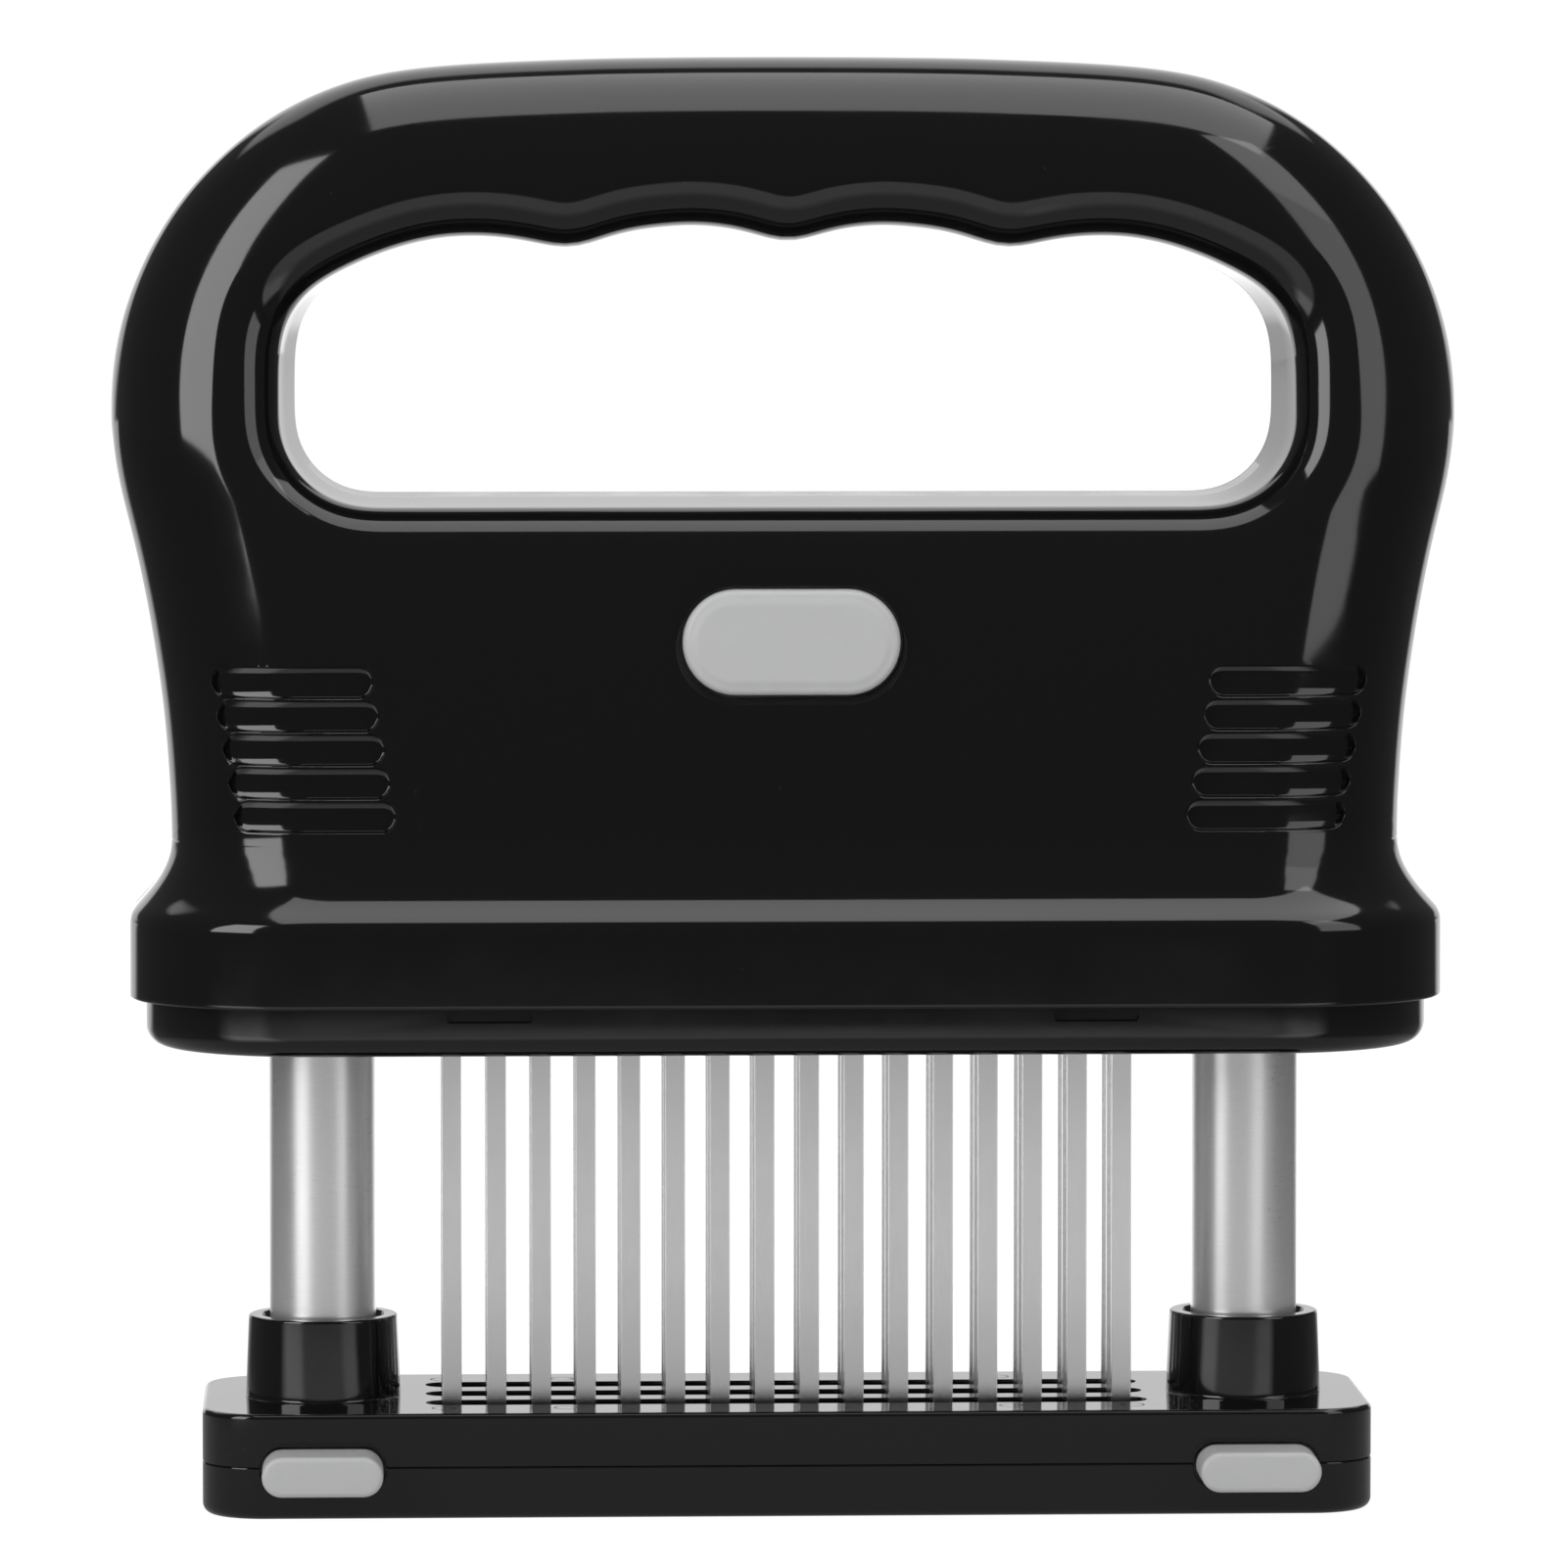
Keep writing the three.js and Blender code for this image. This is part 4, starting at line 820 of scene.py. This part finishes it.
def handle_shells():
    vents = []
    for row in range(VENT_ROWS):
        middle_x = VENT_OUTER_X - VENT_LEAN * (VENT_ROWS - 1 - row)
        vents += [vent_cutter(side * middle_x, VENT_LOWEST_Z + VENT_PITCH * row) for side in (-1, 1)]
    face = -depth_at(RELEASE_Z)
    release = hole_cutter(lambda grow: stadium(*RELEASE_KEY, 0.35 + grow, 24), [
        (1.4, face - 6), (0.7, face - 0.35), (0.36, face + 0.02), (0.18, face + 0.12), (0.06, face + 0.26),
        (0, face + 0.45), (0, face + 6)], z=RELEASE_Z)
    front = shell_body()
    back = front.copy()
    bmesh.ops.scale(back, vec=(1, -1, 1), verts=back.verts)
    bmesh.ops.reverse_faces(back, faces=back.faces)
    front = carved(front, together(*vents), release)
    finished("front_shell", front, "black_gloss", "handle", "handle_front_shell", sharp=40)

    def from_back(profile, x, z):
        """A turned piece from a screw's seat to the back. Points near the skin follow its curve."""
        piece = spun(profile)
        turned(piece, -math.pi / 2, "X")
        bmesh.ops.translate(piece, vec=(x, SHELL_SCREW_SEAT, z), verts=piece.verts)
        middle = face_depth(np.array([(x, z)]))[0]
        for vert in piece.verts:
            if middle - RIM_BELOW < vert.co.y < middle + RIM_ABOVE:
                vert.co.y += face_depth(np.array([(vert.co.x, vert.co.z)]))[0] - middle
        return piece

    recesses, wells = [], []
    for _, x, z in SHELL_SCREWS:
        skin = face_depth(np.array([(x, z)]))[0] - SHELL_SCREW_SEAT
        rim = [(3.05, skin - 0.4), (3.15, skin - 0.15), (3.4, skin), (5, skin + 1.5)]
        recesses.append(from_back([(0, 0), (3.05, 0), *rim, (5, 30), (0, 30)], x, z))
        wall = [(3.05, 0), (3.05, skin - 1.0), (4.3, skin - 1.0), (4.3, -1.6), (1.7, -1.6), (1.7, 0)]
        wells.append(from_back(wall, x, z))
    back = together(carved(back, together(*recesses)), *wells)
    finished("back_shell", back, "black_gloss", "handle", "handle_back_shell", sharp=40)


def bottom_cover():
    rings = [rounded_ring(COVER_HALF, COVER_BOTTOM + back, -inset, 16) for inset, back in round_over(2.4, 8)]
    rings.append(rounded_ring(COVER_HALF, COVER_TOP - 0.02, 0, 16))
    inside = stacked([rounded_ring(COVER_HALF, z, -WALL, 16) for z in (COVER_BOTTOM + 2.4, 60)])
    window = [(1.2, COVER_BOTTOM - 1), (0.35, COVER_BOTTOM + 0.05), (0, COVER_BOTTOM + 0.4), (0, 60)]
    block = stacked([rounded_ring((42.725, 13.0, 0.6), z, grow, 3) for grow, z in window])
    bore = [(0, 50), (8.9, 50), (8.15, 52.45), (7.95, 52.7), (7.95, 60), (0, 60)]
    holes = [spun(bore, side * ROD_X) for side in (-1, 1)]
    screw_places = [(x, y) for x in (-SCREW_X, SCREW_X) for y in (-COVER_SCREW_Y, COVER_SCREW_Y)]
    sunk = [(0, 50), (3.4, 50), (2.75, 52.5), (2.7, 52.6), (2.7, 54.3), (1.6, 54.3), (1.6, 60), (0, 60)]
    holes += [spun(sunk, x, y, 40) for x, y in screw_places]
    snaps = []
    for x in (-SNAP_X, SNAP_X):
        outline = lambda grow: [point[:2] for point in rounded_ring((4.65, 0.75, 0.3), 0, grow, 4)]
        snaps.append(hole_cutter(outline, [(0.3, -27), (0.07, -26.02), (0, -25.9), (0, -25.1)], x, 57.1))
    cover = carved(stacked(rings), inside, block, together(*holes), together(*snaps))
    post = [(1.6, 54.5), (3.2, 54.5), (3.2, COVER_TOP - 0.1), (1.6, COVER_TOP - 0.1)]
    posts = [spun(post, x, y, 32) for x, y in screw_places]
    cover = together(cover, *posts)
    finished("bottom_cover", cover, "black_gloss", "handle", "handle_bottom_cover", even=True)


def release_button():
    face = RELEASE_FACE
    profile = [(0.0, -16.6), (0.0, face + 1.35), (-0.06, face + 1.0)]
    profile += [(-0.06 - inset, face + 0.25 + back) for inset, back in reversed(round_over(0.75, 6))][1:]
    profile += [(-1.15, face + 0.16), (-1.45, face + 0.03), (-1.8, face), (-4.6, face)]
    cap = hole_cutter(lambda grow: stadium(*RELEASE_KEY, grow, 24), profile, z=RELEASE_Z)
    flange = hole_cutter(lambda grow: stadium(*RELEASE_KEY, 1.2 + grow, 24), [(0, -17.6), (0, -16.4)],
                         z=RELEASE_Z)
    finished("release_key", together(cap, flange), "grey_button", "release", "release_button", even=True)


# Base plate

def plate_ring(z, grow=0.0):
    return rounded_ring(PLATE_HALF, z, grow, 14)


def upright_slots(rings):
    def ring(row, grow, z):
        outline = stadium(2 * SLOT_HALF, SLOT_WIDTH, grow, 12)
        return [(x, row * ROW_PITCH + y, z) for x, y in outline]

    return together(*[stacked([ring(row, grow, z) for grow, z in rings]) for row in (-1, 0, 1)])


def button_holes():
    rings = [(0.8, -19), (0.2, -18.03), (0.11, -17.97), (0.04, -17.86), (0, -17.7), (0, -13)]
    outline = lambda grow: stadium(*PLATE_KEY, PLATE_KEY_GAP + grow, 16)
    return together(*[hole_cutter(outline, rings, side * ROD_X, BUTTON_Z) for side in (-1, 1)])


def ejector_marks():
    marks = []
    for x in (-38.7, -25.0, 25.0, 38.7):
        for y in (-12.9, 12.9):
            marks.append(spun([(1.18, -0.06), (1.35, -0.06), (1.42, 0.4), (1.11, 0.4)], x, y, 40))
    marks = together(*marks)
    bmesh.ops.translate(marks, vec=(0, 0, PLATE_TOP), verts=marks.verts)
    return marks


def base_shells():
    screw_places = [(x, y) for x in (-SCREW_X, SCREW_X) for y in (-PLATE_SCREW_Y, PLATE_SCREW_Y)]
    rings = [plate_ring(back, -inset) for inset, back in round_over(1.2, 8)]
    seam = [(0.2, 0.0), (0.06, -0.06), (0.02, -0.2)]
    rings += [plate_ring(PLATE_SEAM - back, grow) for back, grow in seam]
    cavity = carved(stacked([plate_ring(2.0, -2), plate_ring(9, -2)]),
                    stacked([rounded_ring(WELL_HALF, z, 0, 3) for z in (1, 10)]))
    slots = upright_slots([(0.7, -0.4), (0.25, 0.05), (0.07, 0.16), (0, 0.4), (0, 9)])
    sunk = [(0, -1), (3.2, -1), (2.5, 0.03), (2.4, 0.2), (2.4, 2.2), (1.4, 2.2), (1.4, 9), (0, 9)]
    screw_holes = together(*[spun(sunk, x, y, 40) for x, y in screw_places])
    lower = carved(stacked(rings), cavity, slots, button_holes(), screw_holes)
    finished("plate_lower_shell", lower, "black_gloss", "base", "base_lower_shell", even=True)

    rings = [plate_ring(PLATE_SEAM + up, grow) for up, grow in reversed(seam)]
    rings += [plate_ring(PLATE_TOP - back, -inset) for inset, back in reversed(round_over(0.6, 6))]
    cavity = carved(stacked([plate_ring(3.0, -2), plate_ring(PLATE_TOP - WALL, -2)]),
                    stacked([rounded_ring(WELL_HALF, z, 0, 3) for z in (1, 12)]))
    rim = [(0, -0.3), (0.06, -0.12), (0.2, 0.02), (0.6, 0.5)]
    slots = upright_slots([(0, 3), *[(grow, PLATE_TOP + up) for grow, up in rim]])
    bores = together(*[spun([(0, 3), (7.4, 3), (7.4, 14), (0, 14)], side * ROD_X) for side in (-1, 1)])
    upper = carved(stacked(rings), cavity, slots, button_holes(), bores, ejector_marks())
    foot = [(8.0, -0.5), (8.95, -0.04), (8.84, 0.03), (8.78, 0.13), (8.74, 0.3)]
    rim = [(8.42, -0.3), (8.39, -0.15), (8.31, -0.05), (8.2, -0.01), (8.08, 0), (7.05, 0), (6.95, -0.03),
           (6.88, -0.1), (6.7, -0.8), (6.32, -1.1), (6.3, -1.3)]
    profile = [(6.3, 6.65), (8.0, 6.65), *[(radius, PLATE_TOP + up) for radius, up in foot]]
    profile += [(radius, SOCKET_TOP + up) for radius, up in rim]
    sockets = [spun(profile, side * ROD_X, steps=96) for side in (-1, 1)]
    upper = together(upper, *sockets)
    finished("plate_upper_shell", upper, "black_gloss", "base", "base_upper_shell", even=True)


def base_buttons():
    profile = [(0.0, -15.5), (0.0, KEY_FRONT + 0.6)]
    profile += [(-inset, KEY_FRONT + back) for inset, back in reversed(round_over(0.6, 5))][1:]
    profile += [(-1.6, KEY_FRONT)]
    prong = [(4.0, -14.6), (7.4, -14.6), (7.4, -10.07), (5.0, -8.17), (4.0, -8.17)]
    outline = lambda grow: stadium(*PLATE_KEY, grow, 16)
    for name, body, side in (("left", "base_button_l", -1), ("right", "base_button_r", 1)):
        middle = side * ROD_X
        cap = hole_cutter(outline, profile, middle, BUTTON_Z)
        flange = hole_cutter(outline, [(0.75, -15.7), (0.75, -14.5)], middle, BUTTON_Z)
        prongs = [stacked([[(middle + lean * x, y, BUTTON_Z + z) for x, y in prong] for z in (-0.7, 0.7)])
                  for lean in (-1, 1)]
        finished(f"plate_key_{name}", together(cap, flange, *prongs), "grey_button", body,
                 f"base_button_{name}", even=True)


# Rods, springs and bushes

def rods_and_springs():
    tube = [(4.7, 14.2), (4.9, 14.0), (5.8, 14.0), (6.0, 14.2), (6.0, 61.0), (5.4, 61.0), (5.4, 63.2),
            (6.0, 63.2), (6.0, 73.8), (5.8, 74), (4.7, 74)]
    plug = [(0, 2.3), (4.8, 2.3), (5.2, 2.45), (5.85, 3.1), (6.0, 3.5), (6.0, 4.25), (5.0, 4.25),
            (5.0, 6.25), (6.0, 6.25), (6.0, 13.7), (5.9, 13.95), (4.4, 13.95), (4.4, 19.7), (4.1, 20.0),
            (0, 20.0)]
    ring = [(5.7, 61.3), (8.1, 61.3), (8.2, 61.4), (8.2, 62.8), (8.1, 62.9), (5.7, 62.9)]
    bush = [(6.3, 52.7), (6.6, 52.4), (7.4, 52.4), (7.6, 52.6), (7.6, 54.8), (8.6, 54.8), (8.6, 56.4),
            (7.6, 56.4), (7.6, 60.8), (7.4, 61.0), (6.3, 61.0)]
    pin = [(0, 88.1), (2.2, 88.1), (2.6, 88.6), (2.6, 108.1), (6.8, 108.1), (6.8, 110.1), (0, 110.1)]
    for name, x in (("left", -ROD_X), ("right", ROD_X)):
        finished(f"guide_rod_{name}", spun(tube, x, steps=96), "rod_steel", "rods", f"rod_{name}")
        finished(f"rod_foot_{name}", spun(plug, x), "inner_plastic", "rods", f"rod_plug_{name}")
        finished(f"stop_washer_{name}", spun(ring, x), "spring_steel", "rods", f"rod_stop_ring_{name}")
        finished(f"rod_bush_{name}", spun(bush, x), "bush_plastic", "handle", f"guide_bush_{name}")
        finished(f"spring_post_{name}", spun(pin, x), "inner_plastic", "handle", f"spring_guide_pin_{name}")
        spring = finished(f"return_spring_{name}", return_spring(x), "spring_steel", "rods",
                          f"main_spring_{name}")
        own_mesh(spring)


def return_spring(x, curls=22, radius=3.8, wire=0.6):
    """A coil with closed ends, swept round the rod's axis."""
    bm = bmesh.new()
    low, high = SPRING_ENDS
    start = Matrix.Translation((radius, 0, low)) @ Matrix.Rotation(math.pi / 2, 4, "X")
    bmesh.ops.create_circle(bm, segments=8, radius=wire, matrix=start)
    steps = 20
    edges = list(bm.edges)
    bmesh.ops.contextual_create(bm, geom=edges)
    count = curls * steps
    ends = 1.6 * steps
    pitches = [min(1.0, (step + 1) / ends, (count - step) / ends) for step in range(count)]
    rise = (high - low) / sum(pitches)
    for step in range(count):
        made = bmesh.ops.extrude_edge_only(bm, edges=edges)["geom"]
        verts = [part for part in made if isinstance(part, bmesh.types.BMVert)]
        bmesh.ops.rotate(bm, cent=(0, 0, 0), matrix=Matrix.Rotation(2 * math.pi / steps, 3, "Z"), verts=verts)
        bmesh.ops.translate(bm, vec=(0, 0, rise * pitches[step]), verts=verts)
        fresh = set(verts)
        edges = [part for part in made if isinstance(part, bmesh.types.BMEdge)
                 and part.verts[0] in fresh and part.verts[1] in fresh]
    bmesh.ops.contextual_create(bm, geom=edges)
    bmesh.ops.recalc_face_normals(bm, faces=bm.faces)
    bmesh.ops.translate(bm, vec=(x, 0, 0), verts=bm.verts)
    return bm


# Cartridge and screws

def cartridge():
    for row in ("front", "middle", "rear"):
        blades = softened(copied(f"blade_row_{row}"), 0.13, 2)
        finished(f"blades_{row}", blades, "blade_steel", "cartridge", f"blade_row_{row}", even=True)
    block = softened(copied("cartridge_block"), 0.25, 2)
    finished("blade_block", block, "inner_plastic", "cartridge", "cartridge_block", even=True)
    clamp = softened(copied("cartridge_clamp"), 0.2, 2)
    finished("blade_clamp", clamp, "black_gloss", "cartridge", "cartridge_clamp", even=True)
    catch = softened(copied("cartridge_catch"), 0.1, 1)
    finished("catch_leaf", catch, "spring_steel", "handle", "cartridge_catch", even=True)


def screw(shank, head, thickness, length):
    """A pan-head screw with a cross recess, its head down and its seat at height 0."""
    curve = [(0, 1), (0.55, 1), (0.82, 0.93), (0.95, 0.72), (1, 0.45), (1, 0)]
    dome = [(head * out, -thickness * down) for out, down in curve]
    thread = []
    pitch = shank * 0.75
    turns = int((length - 1.2) / pitch)
    for turn in range(turns):
        low = 0.3 + turn * pitch
        thread += [(shank * 0.78, low), (shank * 0.78, low + pitch * 0.3), (shank, low + pitch * 0.62)]
    profile = [*dome, (shank * 0.78, 0), *thread, (shank * 0.78, length - 0.9), (0, length)]
    body = spun(profile, steps=32)
    arm = head * 0.52
    width = head * 0.13
    depth = thickness * 0.75
    outline = [(-arm, -width), (-width, -width), (-width, -arm), (width, -arm), (width, -width),
               (arm, -width), (arm, width), (width, width), (width, arm), (-width, arm), (-width, width),
               (-arm, width)]
    levels = ((1.12, -thickness - 0.4), (1.0, -thickness), (0.5, -thickness + depth))
    cross = stacked([[(x * share, y * share, z) for x, y in outline] for share, z in levels])
    return carved(body, cross)


def screws():
    base = (1.1, 2.1, 1.4, 7.8)
    cover = (1.3, 2.4, 1.5, 13)
    shell = (1.4, 2.7, 1.8, 17)
    clamp = (1.2, 2.2, 1.3, 9)
    corners = [("front_left", -1, -1), ("front_right", 1, -1), ("back_left", -1, 1), ("back_right", 1, 1)]
    sets = [("base_screw", base, SCREW_X, PLATE_SCREW_Y, 2.2, "base"),
            ("cover_screw", cover, SCREW_X, COVER_SCREW_Y, 54.3, "handle"),
            ("clamp_screw", clamp, 27.525, 4, 54.0, "cartridge")]
    for kind, size, x, y, seat, body in sets:
        for where, side_x, side_y in corners:
            piece = screw(*size)
            turned(piece, 0.4 + side_x + 2 * side_y, "Z")
            bmesh.ops.translate(piece, vec=(side_x * x, side_y * y, seat), verts=piece.verts)
            finished(f"{kind}_cross_{where}", piece, "spring_steel", body, f"{kind}_{where}", sharp=38)
    for number, (name, x, z) in enumerate(SHELL_SCREWS):
        piece = screw(*shell)
        turned(piece, number * 1.3, "Z")
        laid_back(piece, x, SHELL_SCREW_SEAT, z)
        finished(f"shell_screw_cross_{name}", piece, "spring_steel", "handle", f"shell_screw_{name}",
                 sharp=38)


# Studio

def softbox(name, turn, rise, away, size, radiance, target=(0, 0, 0.1)):
    """A lit rectangle that faces the object from so many degrees left of the front, and above the floor."""
    turn, rise = math.radians(turn), math.radians(rise)
    data = bpy.data.lights.new(name, "AREA")
    data.shape = "RECTANGLE"
    data.size, data.size_y = size
    data.energy = radiance * 4 * size[0] * size[1]
    lamp = bpy.data.objects.new(name, data)
    toward = Vector((-math.sin(turn) * math.cos(rise), -math.cos(turn) * math.cos(rise), math.sin(rise)))
    lamp.location = Vector(target) + toward * away
    lamp.rotation_euler = toward.to_track_quat("Z", "Y").to_euler()
    lamp.visible_camera = False
    bpy.context.scene.collection.objects.link(lamp)


def studio():
    softbox("left_box", 52, 0, 1.0, (0.5, 1.14), 4.0, target=(0, 0, 0.74))
    softbox("right_low_box", -48, 0, 1.0, (0.48, 0.7), 1.5, target=(0, 0, 0.45))
    softbox("right_high_box", -48, 0, 1.0, (0.48, 0.75), 2.0, target=(0, 0, 1.18))
    softbox("top_box", 0, 90, 0.8, (0.88, 0.84), 1.9, target=(0.16, 0, 0.163))

    world = bpy.data.worlds.new("studio")
    bpy.context.scene.world = world
    world.use_nodes = True
    finish = Finish(world.node_tree)
    across, along, up = finish.axes(finish.node("ShaderNodeTexCoord", output=0))
    wall = finish.ramp((along + up * 0.7 - 0.87) / 0.08 + 0.5, [(0.0, 0.0), (1.0, 1.0)])
    top = finish.ramp(up, [(0.75, 1.0), (0.8, 0.0)])
    aside = finish.node("ShaderNodeMath", {"operation": "ABSOLUTE"}, {0: across})
    reach = finish.ramp(up, [(0.0, 0.75), (0.12, 0.6), (0.3, 0.28), (0.48, 0.36), (0.6, 0.9)])
    middle = finish.ramp((reach * along - aside) / 0.1 + 0.5, [(0.0, 0.0), (1.0, 1.0)])
    mirrored = 0.09 + wall * top * middle * 0.96
    seen, gloss, clear = finish.rays()
    strength = seen + clear + (1 - seen) * (1 - clear) * (gloss * mirrored + (1 - gloss) * 0.42)
    background = finish.node("ShaderNodeBackground", {}, {"Color": (1, 1, 1, 1), "Strength": strength})
    finish.node("ShaderNodeOutputWorld", {}, {"Surface": background})

    bm = bmesh.new()
    bmesh.ops.create_grid(bm, x_segments=1, y_segments=1, size=3.0)
    floor = shown("floor", bm)
    floor.data.materials.append(floor_finish())
    floor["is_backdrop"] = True


def floor_finish():
    """White to the camera, and lit to the left and right of the front in the object's reflections."""
    made = bpy.data.materials.new("pale_floor")
    made.use_nodes = True
    finish = Finish(made.node_tree)
    seen, gloss, _ = finish.rays()
    place = finish.node("ShaderNodeTexCoord", output=3)
    across, along, _ = finish.axes(place)
    away = finish.node("ShaderNodeVectorMath", {"operation": "LENGTH"}, {0: place}, output=1)
    near = finish.ramp(away, [(0.14, 0.0), (0.21, 1.0), (0.52, 1.0), (0.6, 0.12), (0.7, 0.0)])
    close = finish.ramp(away, [(0.14, 0.27), (0.2, 0.0)])
    aside = finish.node("ShaderNodeMath", {"operation": "ABSOLUTE"}, {0: across})
    past = finish.ramp(along + 0.5, [(0.55, 0.0), (0.7, 1.0)])
    wide = finish.ramp((along * 0.75 - aside) / 0.12 + 0.5, [(0.0, 0.0), (1.0, 1.0)])
    narrow = finish.ramp((along * 0.26 - aside) / 0.06 + 0.5, [(0.0, 0.0), (1.0, 1.0)])
    behind = past * (wide + narrow * 0.6)
    angle = finish.node("ShaderNodeMath", {"operation": "ARCTAN2"}, {0: across, 1: 0 - along})
    turn = angle / (2 * math.pi) + 0.5
    stops = [(-180, 0.02), (-70, 0.02), (-60, 1.0), (-42, 1.0), (-34, 0.36), (18, 0.36), (27, 0.68),
             (41, 0.68), (49, 0.02), (180, 0.02)]
    lit = finish.ramp(turn, [(degrees / 360 + 0.5, level) for degrees, level in stops]) * 1.9
    glow = finish.node("ShaderNodeEmission", {}, {
        "Color": (1, 1, 1, 1), "Strength": seen * 1.06 + (1 - seen) * (near * lit + close + behind + 0.08)})
    paint = finish.node("ShaderNodeBsdfDiffuse", {}, {"Color": (0.8, 0.8, 0.8, 1)})
    mixed = finish.node("ShaderNodeMixShader", {}, {0: seen * 0.92 + (1 - seen) * gloss, 1: paint, 2: glow})
    finish.node("ShaderNodeOutputMaterial", {}, {"Surface": mixed})
    return made


# The whole scene

bpy.context.scene.view_settings.view_transform = "Standard"
aim_camera()
FINISHES = make_finishes()
for row in frame["record"]["subparts"]:
    node = frame["nodes"][row["node"]]
    node.data.materials.clear()
    node.data.materials.append(FINISHES[row["material_slot"]])

handle_shells()
bottom_cover()
release_button()
base_shells()
base_buttons()
rods_and_springs()
cartridge()
screws()
studio()

plain = lambda box: [[float(value) for value in corner] for corner in box]
{"cad": plain(cad_box), "visual": plain(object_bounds())}
